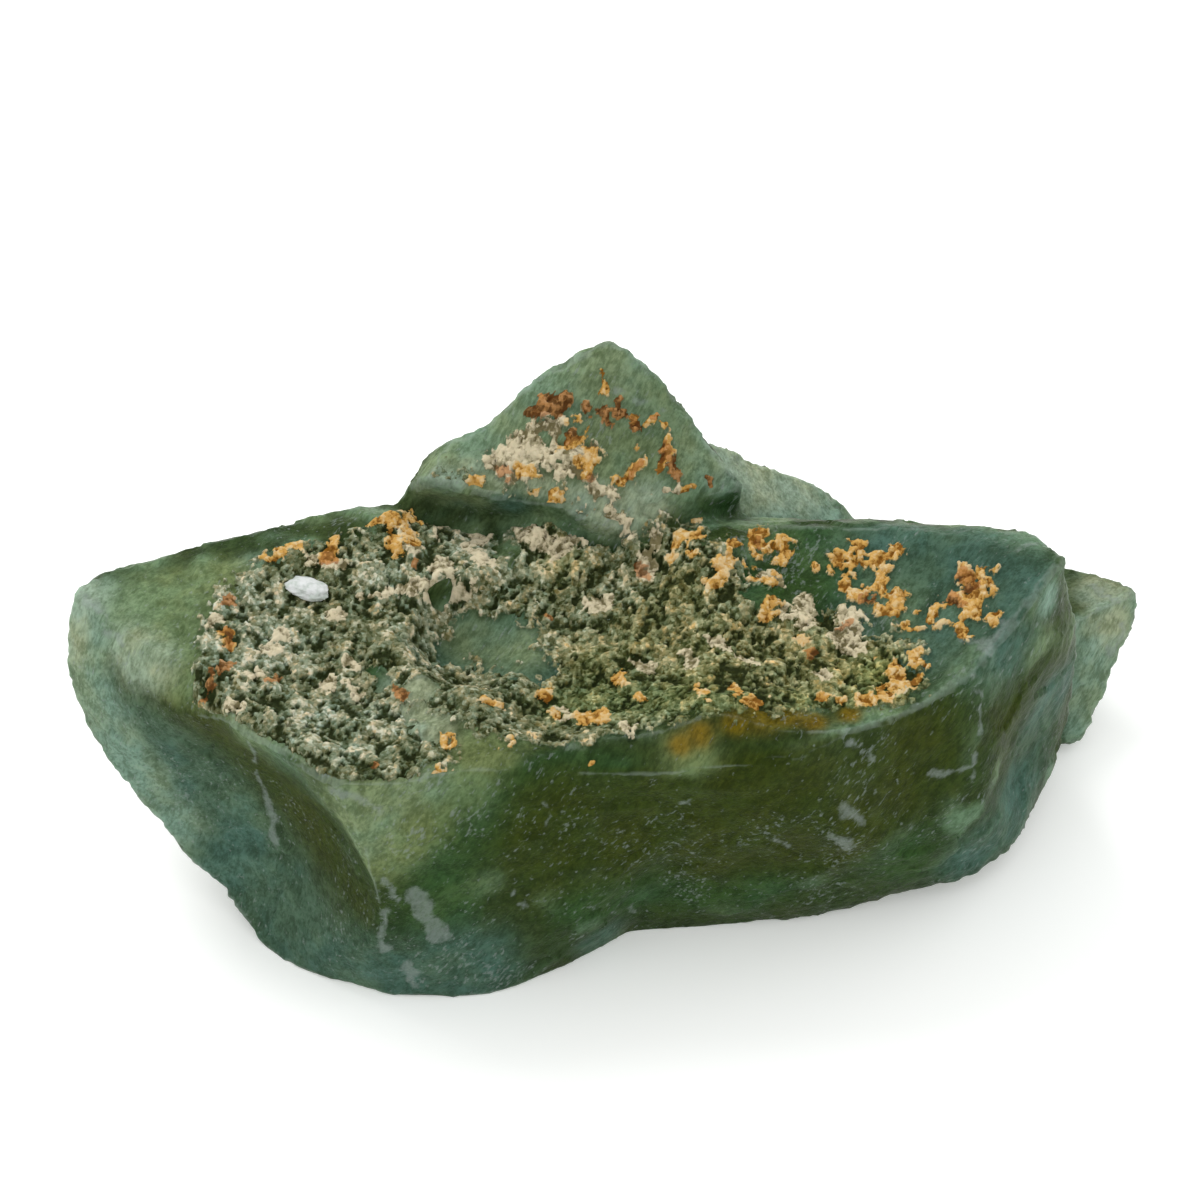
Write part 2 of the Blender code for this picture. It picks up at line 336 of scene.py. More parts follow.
# %% Waves, steps, chips and small facets
ARRIS_SPREAD = 14
LINE_SPREAD = 4
ARRIS_SHARPENING = 0.3
MOST_SHARPENING = 0.3
WAVE_LENGTH = 6.0
WAVE_HEIGHT = 0.18
STEP_LENGTH = 3.0
STEP_HEIGHT = 0.28
CHIP_LENGTH = 1.15
CHIP_HEIGHT = 0.42
FACET_SIZE = 5.0
FACET_TILT = 0.06
FACET_LIMIT = 0.22
REST_ZONE = 0.5

points = points_of(mass.data)
normals = normals_of(mass.data)
mass_mean = neighbour_mean(mass.data)


def standing_proud(spread):
    """How far each vertex stands out of its surroundings, in millimetres."""
    around = points
    for _ in range(spread):
        around = mass_mean(around)
    return ((points - around) * normals).sum(axis=1)


proud = standing_proud(ARRIS_SPREAD)
arris = blurred(mass_mean, smoothstep(0.08, 0.35, proud), 1)
arris_line = smoothstep(0.06, 0.16, standing_proud(LINE_SPREAD))
crease = blurred(mass_mean, smoothstep(0.05, 0.35, -proud), 2)
push = np.clip(proud * ARRIS_SHARPENING, -MOST_SHARPENING, MOST_SHARPENING)

waves = noise_at(points, WAVE_LENGTH) * WAVE_HEIGHT
steps = (0.3 - np.abs(noise_at(points, STEP_LENGTH, 3.7))) * STEP_HEIGHT
chips = -np.abs(noise_at(points, CHIP_LENGTH, 9.1)) * CHIP_HEIGHT * (0.4 + 0.6 * arris)
seeds = np.array([noise.voronoi(Vector(place))[1][0] for place in points / FACET_SIZE])
tilts = np.array([noise.noise_vector(Vector(seed) * 3.1 + Vector((5.3, 1.7, 8.9))) for seed in seeds])
facets = ((points - seeds * FACET_SIZE) * tilts).sum(axis=1) * FACET_TILT * 2.0
facets = np.clip(facets, -FACET_LIMIT, FACET_LIMIT)
above_rest = smoothstep(0.0, REST_ZONE, points[:, 2])
moved = points + normals * ((push + waves + steps + chips + facets) * above_rest)[:, None]
moved[:, 2] = np.maximum(moved[:, 2], 0.0)
set_points(mass.data, moved)
mass.data.shade_smooth()
print("arrises cover", round(100 * float((arris > 0.5).mean())), "% of the mass")

# %% [markdown]
# ## Light in the stone
#
# Green fluorite lets light in. Where the stone is thin, light comes out again and it looks
# pale and minty. Where it is thick, the light is lost on the way and it looks dark olive. To
# find the thin places, rays start just under the skin and run inwards until they leave the
# stone. A short way out in many directions means a bright place. The result is kept on the
# mesh as one number, `glow`, so it stays with the stone from every side.

# %% How much light comes through at each vertex
LIGHT_REACH = 8.0
RAY_RINGS = ((0.0, 1), (0.55, 5), (1.0, 6))
SKIN = 0.08
SKY_SHARE = 0.45
GLOW_EVENING = 8


def inward_fan():
    """Directions around straight in: one in the middle and two rings about it."""
    for tilt, count in RAY_RINGS:
        for place in range(count):
            turn = 2 * math.pi * (place + 0.5 * tilt) / count
            yield math.cos(tilt), math.sin(tilt) * math.cos(turn), math.sin(tilt) * math.sin(turn)


def light_through(tree, points, normals):
    """For each vertex, the share of light that finds its way in and out again there."""
    fan = list(inward_fan())
    glow = np.empty(len(points))
    for number, (point, normal) in enumerate(zip(points, normals)):
        inward = -Vector(normal)
        side = inward.orthogonal().normalized()
        other = inward.cross(side)
        start = (Vector(point) + inward * SKIN) * MM
        total = 0.0
        for straight, sideways, crossways in fan:
            direction = inward * straight + side * sideways + other * crossways
            hit, face, _, way = tree.ray_cast(start, direction)
            if hit is None:
                continue
            sky = 1.0 - SKY_SHARE + SKY_SHARE * face.z
            total += sky * math.exp(-way / MM / LIGHT_REACH)
        glow[number] = total / len(fan)
    return glow


glow = light_through(solid_tree, moved, normals_of(mass.data))
glow = blurred(mass_mean, glow, GLOW_EVENING)
print("glow runs from", round(float(glow.min()), 2), "to", round(float(glow.max()), 2))

# %% [markdown]
# ## Tints
#
# The green isn't the same all over, and much of the change is painted light and shade. It turns
# to olive and a darker forest green in the front and below the slab's lip: partly the stone's own
# colour, partly painted shade. It turns to teal on the shaded sides, to a fresh green where the
# sun comes through the prow, and to a pale mint and a paler white-green on thin edges: painted
# light coming through the stone. Each tint has its places, and fades away from them like breath
# on glass: the shares of all its places are combined as chances are, so that two that overlap
# never add up to more than 1 and no edge shows. A tint also keeps to the face it lies on: where
# the stone turns away at an arris, it ends, which is what makes an arris stand out in a clear
# stone.

# %% Soft areas on the stone
FACE_EVENING = 5
SAME_FACE = (0.5, 0.9)

face_ways = normals
for _ in range(FACE_EVENING):
    face_ways = mass_mean(face_ways)
face_ways /= np.linalg.norm(face_ways, axis=1)[:, None]


def softly(points, ways, places):
    """The share of a tint at each point: 1 at its places, fading over their reaches."""
    left_over = np.ones(len(points))
    for across, down, reach in places:
        middle = on_stone(across, down)
        if middle is None:
            print("a place is off the stone:", across, down)
            continue
        nearest = np.argmin(np.linalg.norm(moved - middle, axis=1))
        same_face = smoothstep(*SAME_FACE, ways @ face_ways[nearest])
        away = np.linalg.norm(points - middle, axis=1) / reach
        left_over *= 1.0 - np.exp(-away * away) * same_face
    return 1.0 - left_over


TINTS = {
    "olive": (
        (560, 830, 8.0), (640, 810, 8.0), (720, 800, 8.0), (800, 780, 8.0), (880, 770, 8.0),
        (930, 740, 6.0), (700, 860, 5.0), (330, 850, 5.5), (300, 800, 5.0), (250, 770, 4.5),
        (210, 730, 4.0), (160, 700, 4.0), (345, 910, 4.0), (820, 850, 6.0), (1010, 700, 4.0),
    ),
    "forest": (
        (450, 830, 5.0), (500, 800, 5.5), (560, 770, 5.0), (440, 900, 5.0), (620, 780, 4.0),
        (720, 508, 2.5), (800, 545, 4.0), (830, 580, 4.0), (760, 590, 3.0), (495, 618, 2.6),
        (460, 606, 2.0), (930, 560, 4.0),
        (640, 440, 2.5), (560, 485, 2.5), (715, 500, 2.0), (900, 860, 5.0), (960, 700, 4.0),
        (665, 440, 2.5), (625, 600, 6.0), (720, 640, 6.0), (300, 640, 6.0), (384, 676, 2.0),
        (590, 900, 4.0), (640, 890, 4.0), (700, 890, 4.0), (760, 890, 4.0),
    ),
    "teal": (
        (505, 502, 2.5), (180, 790, 7.0), (230, 850, 7.5), (300, 930, 7.0), (380, 975, 6.0),
        (470, 970, 6.0), (150, 740, 5.0), (900, 545, 6.0), (960, 550, 6.0), (1020, 600, 6.0),
        (1000, 650, 5.0), (470, 660, 5.0), (520, 660, 4.5), (1020, 800, 6.0), (980, 850, 5.0),
        (1050, 700, 5.0), (600, 940, 3.0), (570, 695, 3.5), (620, 720, 3.0), (860, 620, 3.0),
        (930, 650, 4.0),
    ),
    "mint": (
        (78, 640, 4.0), (88, 690, 4.0), (112, 735, 3.8), (140, 780, 3.6), (174, 822, 3.2),
        (1112, 610, 7.0), (1105, 660, 6.0), (1085, 700, 5.0), (760, 480, 7.0), (820, 503, 6.0),
        (850, 516, 3.0), (700, 450, 2.5), (620, 512, 2.8), (595, 500, 2.2), (650, 500, 2.2),
        (470, 455, 4.5), (505, 430, 3.5), (530, 400, 3.0), (600, 380, 4.0), (90, 600, 3.6),
        (118, 620, 3.0),
        (410, 690, 2.2), (425, 720, 2.6), (400, 655, 1.8), (1050, 600, 2.0),
        (745, 492, 1.6), (720, 478, 2.0), (250, 565, 2.0), (615, 352, 2.5), (575, 372, 2.0),
    ),
    "leaf": (
        (600, 370, 4.5), (560, 400, 4.5), (520, 430, 4.5), (640, 420, 4.5), (680, 450, 4.5),
        (640, 465, 4.0), (600, 470, 4.0), (560, 460, 4.0), (480, 462, 4.0), (440, 462, 3.0),
        (430, 492, 2.5), (465, 500, 2.5),
        (480, 640, 3.5), (520, 655, 3.0), (450, 620, 2.0), (350, 812, 3.0), (385, 800, 3.0),
        (365, 845, 2.2), (420, 780, 3.0), (300, 745, 3.0), (250, 715, 3.0), (220, 690, 3.0),
    ),
    # The pale tint below lies on thin edges and tips: painted light coming through the stone.
    "frosted": (
        (620, 512, 2.6), (600, 505, 2.0), (650, 500, 2.0), (470, 474, 1.8), (505, 474, 1.8),
        (440, 476, 1.6), (540, 484, 1.6), (575, 498, 1.6), (760, 478, 4.0), (795, 490, 3.0),
        (735, 465, 4.0), (66, 606, 3.0), (84, 596, 2.6), (72, 640, 2.4), (408, 690, 3.0),
        (420, 715, 3.2), (432, 738, 2.4), (1105, 590, 3.5),
        (130, 650, 3.0), (152, 664, 3.0), (1110, 625, 3.0),
    ),
    "sunlit": (
        (150, 600, 4.5), (175, 630, 4.5), (140, 630, 4.0), (200, 600, 4.0), (170, 660, 4.0),
        (370, 800, 4.0), (355, 830, 3.4), (400, 830, 4.0), (420, 790, 4.5), (460, 770, 4.0),
        (190, 680, 3.0), (230, 580, 3.0), (380, 860, 3.2), (500, 745, 3.0), (690, 755, 3.0),
    ),
    "amber": (
        (762, 718, 1.9), (790, 716, 1.6), (735, 722, 1.4), (815, 720, 1.4), (700, 735, 1.4),
        (680, 745, 1.2), (850, 715, 1.2),
    ),
}

# %% [markdown]
# ## Bruises
#
# Where the stone was knocked, tiny cracks turned it whitish under the skin. Each bruise is a
# short streak with ragged edges. The raggedness comes from shaking the points with noise
# before measuring how near they are, which is cheaper than drawing a ragged outline.

# %% Shaken points and streaks
COARSE_SHAKE = 1.6
FINE_SHAKE = 0.6


def shaken(points, coarse_amount, fine_amount):
    """The points moved a little by noise, so that a mark measured on them comes out ragged."""
    coarse = np.array([noise.noise_vector(Vector(place)) for place in points / COARSE_SHAKE])
    fine = np.array([noise.noise_vector(Vector(place)) for place in points / FINE_SHAKE])
    return points + coarse * coarse_amount + fine * fine_amount


BRUISES = (
    (251, 742, 258, 780, 0.6), (258, 780, 270, 800, 0.7), (266, 795, 276, 838, 1.0),
    (415, 893, 436, 940, 1.5), (425, 915, 446, 938, 1.3), (384, 880, 400, 905, 0.7),
    (383, 900, 384, 950, 0.8), (845, 806, 860, 820, 1.2), (836, 838, 850, 848, 1.2),
    (962, 642, 985, 640, 0.8), (985, 650, 1003, 622, 1.0), (980, 682, 979, 735, 0.7),
    (850, 742, 868, 760, 0.6), (350, 798, 380, 808, 0.9), (330, 790, 350, 800, 0.9),
    (975, 760, 972, 780, 0.8), (930, 775, 965, 768, 0.9), (682, 806, 690, 800, 0.5),
    (655, 818, 660, 824, 0.5), (780, 838, 786, 846, 0.6), (545, 800, 548, 830, 0.4),
    (184, 836, 196, 862, 0.9), (84, 600, 110, 612, 1.2), (100, 625, 130, 650, 0.7),
    (300, 930, 310, 945, 0.6), (405, 960, 415, 985, 0.9), (510, 890, 525, 905, 0.6),
    (1095, 586, 1118, 600, 1.0), (1108, 655, 1122, 628, 0.9), (1020, 548, 1040, 545, 0.7),
    (655, 850, 652, 856, 0.4), (915, 825, 925, 830, 0.4), (620, 395, 640, 402, 0.8),
    (642, 400, 662, 404, 0.7), (608, 494, 612, 516, 0.7), (600, 905, 640, 912, 0.5),
)
bruise = nearness_to_lines(shaken(moved, 0.9, 0.0), BRUISES)
print("bruises cover", round(100 * float((bruise > 0.5).mean()), 1), "% of the mass")

# %% [markdown]
# ## Where the crust lies
#
# The crust covers the hollow in the top and stops along an irregular line. Its outline is
# walked round in the picture, point by point, and dropped onto the stone, which gives a plan
# outline in millimetres. A second, wider walk takes in the slab and the right rim as well:
# all of it gets a finer skin, because ochre and rust sit there in separate clumps.

# %% Two outlines
CRUST_WALK = (
    (206, 692, 3.0), (200, 640), (215, 601), (243, 572), (300, 544), (345, 534), (372, 520),
    (410, 508), (450, 503), (500, 500), (545, 514), (600, 534), (640, 538), (690, 522),
    (725, 545), (760, 585), (830, 604), (900, 640), (925, 662), (926, 690), (900, 713),
    (800, 712), (700, 722), (640, 730), (585, 752), (520, 752), (470, 748), (440, 772),
    (380, 786, 1.0), (335, 784, 3.0), (290, 762, 3.5), (250, 736, 3.5), (228, 716, 3.5),
)
SKIN_WALK = (
    (200, 694, 1.2), (186, 650), (196, 592), (232, 562), (300, 538), (365, 520), (404, 502),
    (418, 478), (450, 452), (488, 438), (508, 408), (560, 378), (606, 354), (630, 362),
    (662, 410), (715, 458), (742, 492), (790, 524), (850, 534), (930, 535), (1010, 542),
    (1048, 570), (1030, 620), (985, 668), (940, 705), (850, 722), (760, 730), (690, 738),
    (640, 762), (590, 780), (500, 782), (440, 792), (384, 790, 1.0), (335, 784, 1.6),
    (290, 762, 1.6), (250, 736, 1.6), (220, 708, 1.6),
)


def plan_outline(walk):
    """The plan points under a walk round the picture.

    A third number pushes a point outwards, in millimetres, past an arris that hides its place.
    """
    found = [on_stone(across, down) for across, down, *_ in walk]
    middle = np.mean([point[:2] for point in found if point is not None], axis=0)
    outline = []
    for (across, down, *push), point in zip(walk, found):
        if point is None:
            print("a walk leaves the stone at", across, down)
            continue
        outwards = (point[:2] - middle) / np.linalg.norm(point[:2] - middle)
        outline.append(point[:2] + outwards * sum(push))
    return np.array(outline)


def depth_inside(plan, outline):
    """How far each plan point lies inside an outline; negative outside."""
    nearest = np.full(len(plan), np.inf)
    inside = np.zeros(len(plan), dtype=bool)
    for start, end in zip(outline, np.roll(outline, -1, axis=0)):
        side = end - start
        along = np.clip((plan - start) @ side / (side @ side), 0.0, 1.0)
        nearest = np.minimum(nearest, np.linalg.norm(plan - start - along[:, None] * side, axis=1))
        crosses = (start[1] > plan[:, 1]) != (end[1] > plan[:, 1])
        rise = end[1] - start[1] if end[1] != start[1] else 1.0
        left_of = plan[:, 0] < start[0] + (plan[:, 1] - start[1]) * side[0] / rise
        inside ^= crosses & left_of
    return np.where(inside, nearest, -nearest)


crust_outline = plan_outline(CRUST_WALK)
skin_outline = plan_outline(SKIN_WALK)
print("the crust spans", np.round(np.ptp(crust_outline, axis=0), 1), "mm")

# %% [markdown]
# ## A finer skin for the top
#
# The etched crust has pits of a third of a millimetre, too small for the half-millimetre
# squares of the mass. So a sheet of finer squares is laid over the top. A ray dropped from
# above finds the mass under each corner. The sheet rides just above the mass, and along its
# border and at every sudden drop it dives under the skin of the mass, so no seam shows.

# %% Dropping the sheet onto the mass
DROP_FROM = 100.0
SHEET_PITCH = 0.185
SHEET_MARGIN = 0.6
SHEET_SKIN = 0.03
SHEET_DIVE = 0.40
STEEPEST = 0.32
LARGEST_DROP = 0.60
DROP_MARGIN = 2
DROP_COMPANY = 8
LONELY = 0.22


def dropped(tree, plan):
    """Where plan points land on the mass, which way it faces there, and on which face."""
    ground = np.zeros((len(plan), 3))
    facing = np.zeros((len(plan), 3))
    landed = np.full(len(plan), -1)
    down = Vector((0.0, 0.0, -1.0))
    for number, (x, y) in enumerate(plan):
        hit, normal, face, _ = tree.ray_cast(Vector((x, y, DROP_FROM)) * MM, down)
        if hit is not None:
            ground[number] = np.array(hit) / MM
            facing[number] = normal
            landed[number] = face
    return ground, facing, landed


sheet_low = skin_outline.min(axis=0) - 1.0
sheet_high = skin_outline.max(axis=0) + 1.0
columns = np.arange(sheet_low[0], sheet_high[0], SHEET_PITCH)
rows = np.arange(sheet_low[1], sheet_high[1], SHEET_PITCH)
grid_x, grid_y = np.meshgrid(columns, rows)
grid_shape = grid_x.shape
whole_plan = np.stack((grid_x.ravel(), grid_y.ravel()), axis=1)
whole_depth = depth_inside(whole_plan, skin_outline)
near_skin = whole_depth > -SHEET_MARGIN
whole_ground = np.zeros((len(whole_plan), 3))
whole_facing = np.zeros((len(whole_plan), 3))
whole_landed = np.full(len(whole_plan), -1)
found = dropped(tree_of(mass.data), whole_plan[near_skin])
whole_ground[near_skin], whole_facing[near_skin], whole_landed[near_skin] = found
print("the sheet has", int(near_skin.sum()), "corners")

# %% Places where the sheet must stop: sudden drops and steep faces
def widened(flags, times):
    """Spreads true cells of a grid to their neighbours."""
    for _ in range(times):
        spread = flags.copy()
        spread[1:] |= flags[:-1]
        spread[:-1] |= flags[1:]
        spread[:, 1:] |= flags[:, :-1]
        spread[:, :-1] |= flags[:, 1:]
        flags = spread
    return flags


def evened(grid, times):
    """A grid of numbers, each replaced by the mean of itself and its neighbours."""
    for _ in range(times):
        padded = np.pad(grid, 1, mode="edge")
        grid = (padded[:-2, 1:-1] + padded[2:, 1:-1] + padded[1:-1, :-2] + padded[1:-1, 2:] + grid) / 5
    return grid


level = whole_ground[:, 2].reshape(grid_shape)
drop = np.zeros(grid_shape, dtype=bool)
drop[1:] |= np.abs(np.diff(level, axis=0)) > LARGEST_DROP
drop[:, 1:] |= np.abs(np.diff(level, axis=1)) > LARGEST_DROP
drop |= ((whole_facing[:, 2] < STEEPEST) & near_skin).reshape(grid_shape)
drop &= evened(drop.astype(float), DROP_COMPANY) > LONELY
open_ground = 1.0 - evened(widened(drop, DROP_MARGIN - 1).astype(float), DROP_MARGIN)
settled = open_ground.ravel() * smoothstep(-0.2, 1.0, whole_depth)
used = near_skin & (settled > 0.03) & (whole_landed >= 0)
plan = whole_plan[used]
ground = whole_ground[used]
facing = whole_facing[used]
landed = whole_landed[used]
settled = settled[used]
print("kept", len(plan), "corners")

# %% The mass's numbers, read on the sheet
def beside(values, faces, points):
    """The mass's numbers at points on its faces, mostly from the nearest corners."""
    corners = mass_corners[faces]
    away = np.linalg.norm(moved[corners] - points[:, None, :], axis=2)
    weight = 1.0 / (away + 0.05)
    return (values[corners] * weight[:, :, None]).sum(axis=1) / weight.sum(axis=1)[:, None]


# %% [markdown]
# ## Stains in the crust
#
# Iron left its colours where water stood longest: ochre in thin branches and clumps, rust at
# their cores and along the crust's left border, and cream where the ochre is bleached. Each
# deposit is a short stroke between two places of the picture, measured from shaken points, so
# it comes out ragged and branched.

# %% Strokes of ochre, rust and cream, and calm spots
OCHRE = (
    (369, 518, 380, 517, 1.1), (393, 518, 393, 530, 1.2), (418, 504, 426, 520, 1.4),
    (393, 543, 396, 551, 1.2), (409, 522, 414, 542, 1.0), (332, 537, 329, 556, 0.8),
    (270, 557, 300, 550, 1.0), (532, 497, 558, 495, 1.0), (538, 500, 542, 506, 0.9),
    (475, 482, 481, 503, 0.9), (562, 448, 581, 424, 1.0), (568, 452, 594, 460, 1.1),
    (590, 460, 587, 472, 1.0), (520, 470, 530, 474, 0.9), (622, 481, 636, 470, 0.9),
    (636, 470, 638, 452, 0.8), (603, 379, 606, 391, 0.6), (632, 419, 652, 423, 0.7),
    (652, 422, 660, 412, 0.7), (662, 420, 669, 440, 0.6), (669, 440, 661, 470, 0.5),
    (689, 493, 695, 516, 0.9), (674, 541, 697, 535, 0.9), (697, 535, 694, 555, 0.8),
    (671, 556, 673, 558, 0.7), (713, 580, 725, 559, 1.1), (730, 545, 733, 541, 0.9),
    (757, 535, 758, 556, 1.1), (757, 556, 766, 549, 1.1), (774, 570, 783, 546, 1.2),
    (747, 566, 754, 579, 0.6), (754, 579, 771, 585, 0.5), (820, 569, 823, 573, 0.9),
    (861, 541, 861, 555, 1.1), (861, 555, 845, 590, 0.8), (838, 559, 852, 566, 1.0),
    (868, 563, 897, 549, 1.0), (884, 573, 874, 601, 0.9), (857, 595, 872, 597, 0.9),
    (885, 611, 899, 597, 1.1), (899, 597, 893, 617, 1.0), (911, 628, 932, 615, 1.1),
    (931, 626, 960, 631, 0.5), (966, 632, 973, 598, 1.3), (973, 598, 985, 575, 1.2),
    (963, 573, 968, 584, 0.9), (984, 575, 987, 590, 1.1), (996, 616, 990, 622, 0.8),
    (940, 605, 962, 600, 0.8), (767, 619, 771, 605, 1.1), (878, 657, 878, 662, 0.5),
    (897, 668, 898, 688, 0.9), (914, 655, 924, 674, 0.7), (924, 674, 912, 688, 0.7),
    (881, 688, 884, 694, 0.9), (747, 703, 761, 698, 0.8), (734, 688, 736, 692, 0.7),
    (492, 706, 495, 708, 0.9), (480, 702, 483, 704, 0.7), (506, 738, 506, 745, 0.7),
    (446, 740, 448, 745, 0.8), (440, 768, 442, 772, 0.8), (544, 696, 547, 700, 0.8),
    (553, 715, 556, 719, 0.6), (532, 735, 534, 738, 0.6), (621, 680, 623, 684, 0.8),
    (584, 718, 588, 722, 0.9), (600, 714, 603, 722, 0.7), (587, 760, 588, 763, 0.6),
    (228, 636, 230, 645, 0.8), (700, 690, 705, 700, 0.7), (820, 700, 850, 706, 0.6),
    (640, 700, 644, 704, 0.6), (860, 700, 885, 702, 0.7), (800, 640, 806, 644, 0.6),
)
RUST = (
    (537, 412, 545, 404, 1.1), (552, 402, 562, 400, 1.0), (530, 416, 533, 420, 0.6),
    (560, 408, 556, 414, 0.6), (486, 430, 486, 436, 0.6), (587, 407, 589, 411, 0.5),
    (603, 412, 609, 423, 0.7), (617, 404, 621, 414, 0.7), (632, 421, 636, 427, 0.6),
    (654, 419, 660, 410, 0.6), (666, 444, 661, 462, 0.5), (672, 460, 676, 478, 0.7),
    (701, 490, 708, 483, 0.9), (566, 444, 572, 434, 0.7), (329, 552, 329, 560, 0.6),
    (228, 600, 232, 606, 0.6), (228, 634, 229, 646, 0.6), (222, 672, 229, 665, 0.7),
    (208, 668, 211, 690, 0.5), (211, 692, 198, 704, 0.5), (269, 684, 280, 680, 0.5),
    (370, 767, 376, 769, 0.5), (478, 527, 479, 532, 0.5), (416, 565, 418, 572, 0.5),
    (963, 575, 972, 590, 0.7), (950, 600, 962, 606, 0.7), (866, 600, 872, 604, 0.6),
    (845, 628, 849, 622, 0.6), (756, 545, 760, 552, 0.5), (632, 477, 637, 468, 0.5),
    (590, 478, 594, 482, 0.6), (498, 470, 506, 478, 0.6), (810, 655, 815, 660, 0.5),
    (396, 690, 402, 700, 0.6), (640, 566, 644, 576, 0.6), (545, 618, 552, 622, 0.5),
)
CREAM = (
    (516, 456, 548, 434, 2.0), (500, 462, 524, 468, 1.6), (497, 466, 512, 474, 1.2),
    (566, 455, 590, 456, 1.2), (540, 446, 566, 462, 1.5), (580, 468, 592, 480, 1.0),
    (458, 523, 500, 522, 1.2), (480, 510, 476, 540, 1.3), (485, 534, 470, 553, 0.8),
    (442, 522, 438, 546, 0.5), (404, 530, 414, 546, 1.1), (440, 568, 446, 584, 1.3),
    (452, 596, 483, 564, 1.0), (436, 596, 452, 600, 0.8), (400, 590, 425, 585, 0.8),
    (554, 553, 583, 535, 1.0),
    (526, 534, 542, 543, 1.2), (595, 493, 600, 492, 0.9), (660, 499, 681, 495, 1.0),
    (612, 520, 625, 527, 1.1), (609, 493, 611, 517, 0.8), (652, 540, 645, 572, 1.0),
    (805, 603, 806, 622, 1.2), (849, 622, 850, 646, 1.4), (838, 640, 858, 650, 1.0),
    (780, 612, 786, 620, 0.8), (765, 575, 775, 582, 0.8), (590, 610, 602, 606, 0.9),
    (596, 612, 612, 598, 0.7), (640, 665, 650, 670, 0.9), (690, 660, 696, 668, 0.9),
    (213, 624, 218, 620, 0.8), (275, 638, 280, 637, 0.9), (266, 654, 274, 652, 0.9),
    (254, 674, 262, 672, 0.8), (356, 690, 360, 695, 0.8), (347, 662, 352, 664, 0.7),
    (328, 683, 334, 686, 0.7), (232, 704, 238, 706, 0.7), (333, 616, 337, 618, 0.8),
    (310, 560, 340, 566, 0.8), (360, 600, 390, 592, 0.5), (905, 690, 915, 684, 0.7),
    (628, 728, 634, 732, 0.7), (560, 712, 566, 720, 0.7), (705, 640, 730, 650, 0.6),
    (820, 676, 828, 682, 0.6), (740, 660, 752, 668, 0.6),
)
CALM = (
    (294, 626, 2.0), (367, 622, 2.6), (291, 697, 1.8), (478, 590, 3.2), (560, 600, 2.2),
    (600, 650, 3.0), (690, 660, 2.4), (600, 690, 3.0), (560, 715, 3.4), (640, 712, 3.0),
    (500, 545, 2.4), (470, 560, 2.4), (340, 740, 2.2), (400, 750, 2.6), (455, 735, 2.8),
    (520, 735, 3.0), (700, 700, 2.6), (240, 570, 2.4), (300, 560, 2.2), (590, 520, 2.6),
    (370, 545, 1.6), (830, 600, 2.4), (700, 600, 1.2), (250, 600, 1.6),
)
BARE = (
    (492, 640, 3.0), (514, 652, 3.0), (470, 630, 2.0), (452, 654, 1.8), (425, 690, 1.6),
    (418, 715, 1.8), (440, 728, 1.8), (384, 676, 1.2), (534, 668, 2.0),
    (800, 590, 3.0), (830, 585, 2.6), (760, 600, 1.6), (480, 755, 2.4), (520, 760, 2.4),
    (560, 760, 2.4), (620, 750, 2.4), (690, 735, 2.0), (505, 552, 1.5),
)
FROSTY = (
    (240, 610, 4.0), (280, 650, 4.5), (340, 710, 3.0), (300, 725, 4.0), (390, 580, 4.0),
    (470, 545, 4.0), (230, 665, 4.0), (425, 660, 3.0), (345, 750, 3.0),
    (400, 720, 3.5), (520, 560, 3.5), (440, 590, 3.5),
)
MOSSY = (
    (760, 680, 4.0), (840, 676, 4.5), (880, 680, 3.5), (640, 640, 4.0), (720, 640, 4.5),
    (800, 650, 4.0), (590, 660, 3.0), (700, 670, 4.0), (560, 560, 3.0), (680, 590, 3.0),
)
SUNKEN = (
    (560, 710, 2.5), (590, 706, 3.0), (620, 704, 3.5), (660, 704, 3.5), (700, 702, 3.0),
    (740, 706, 2.5), (800, 706, 2.5), (860, 704, 2.5), (880, 674, 3.0), (900, 690, 2.0),
)
DEPOSIT_GAPS = 1.3
DEPOSIT_REACH = 1.4


def wider(lines, times):
    """The same lines with larger half widths."""
    return [(*line[:4], line[4] * times) for line in lines]


shaken_ground = shaken(ground, 0.6, 0.35)
ochre = nearness_to_lines(shaken_ground, wider(OCHRE, DEPOSIT_REACH))
ochre *= smoothstep(-0.42, -0.02, noise_at(ground, DEPOSIT_GAPS, 21.0))
rust = nearness_to_lines(shaken_ground, wider(RUST, DEPOSIT_REACH))
cream = nearness_to_lines(shaken_ground, wider(CREAM, DEPOSIT_REACH))
cream *= smoothstep(-0.7, -0.25, noise_at(ground, DEPOSIT_GAPS, 33.0))
ground_ways = beside(face_ways, landed, ground)
calm = softly(ground, ground_ways, CALM)
frosty = softly(ground, ground_ways, FROSTY)
mossy = softly(ground, ground_ways, MOSSY)
sunken = softly(ground, ground_ways, SUNKEN)
bare = softly(shaken(ground, 1.2, 0.5), ground_ways, BARE)
print("ochre covers", round(100 * float((ochre > 0.4).mean()), 1), "% of the sheet")

# %% [markdown]
# ## The sugary crust
#
# Seen close, the crust is a mosaic of grains, a third of a millimetre to one millimetre wide,
# each with a tone of its own: frosted, cream, olive, or nearly black where a pit opens between
# them. `noise.voronoi` finds the nearest of many scattered seeds, and all corners that share a
# seed make one grain: they get the same random number, which sets the grain's height here and
# its tone later, so that colour and shape agree. Near its border the crust breaks up grain by
# grain, and so do the stains. Displacing the sheet for real, and not just painting it, gives
# the pits their own shade from every side.

# %% Grains of two sizes
LARGE_GRAIN = 0.90
SMALL_GRAIN = 0.46
GRAIN_STRETCH = (1.0, 1.35, 1.2)
PATCH_LENGTH = 2.4


def grains(points, size, shift):
    """For each point the random number, from 0 to 1, that its whole grain shares."""
    seeds = np.array([noise.voronoi(Vector(place))[1][0] for place in points / size + shift])
    scattered = np.sin(seeds @ np.array((12.9898, 78.233, 37.719))) * 43758.5453
    return scattered - np.floor(scattered)


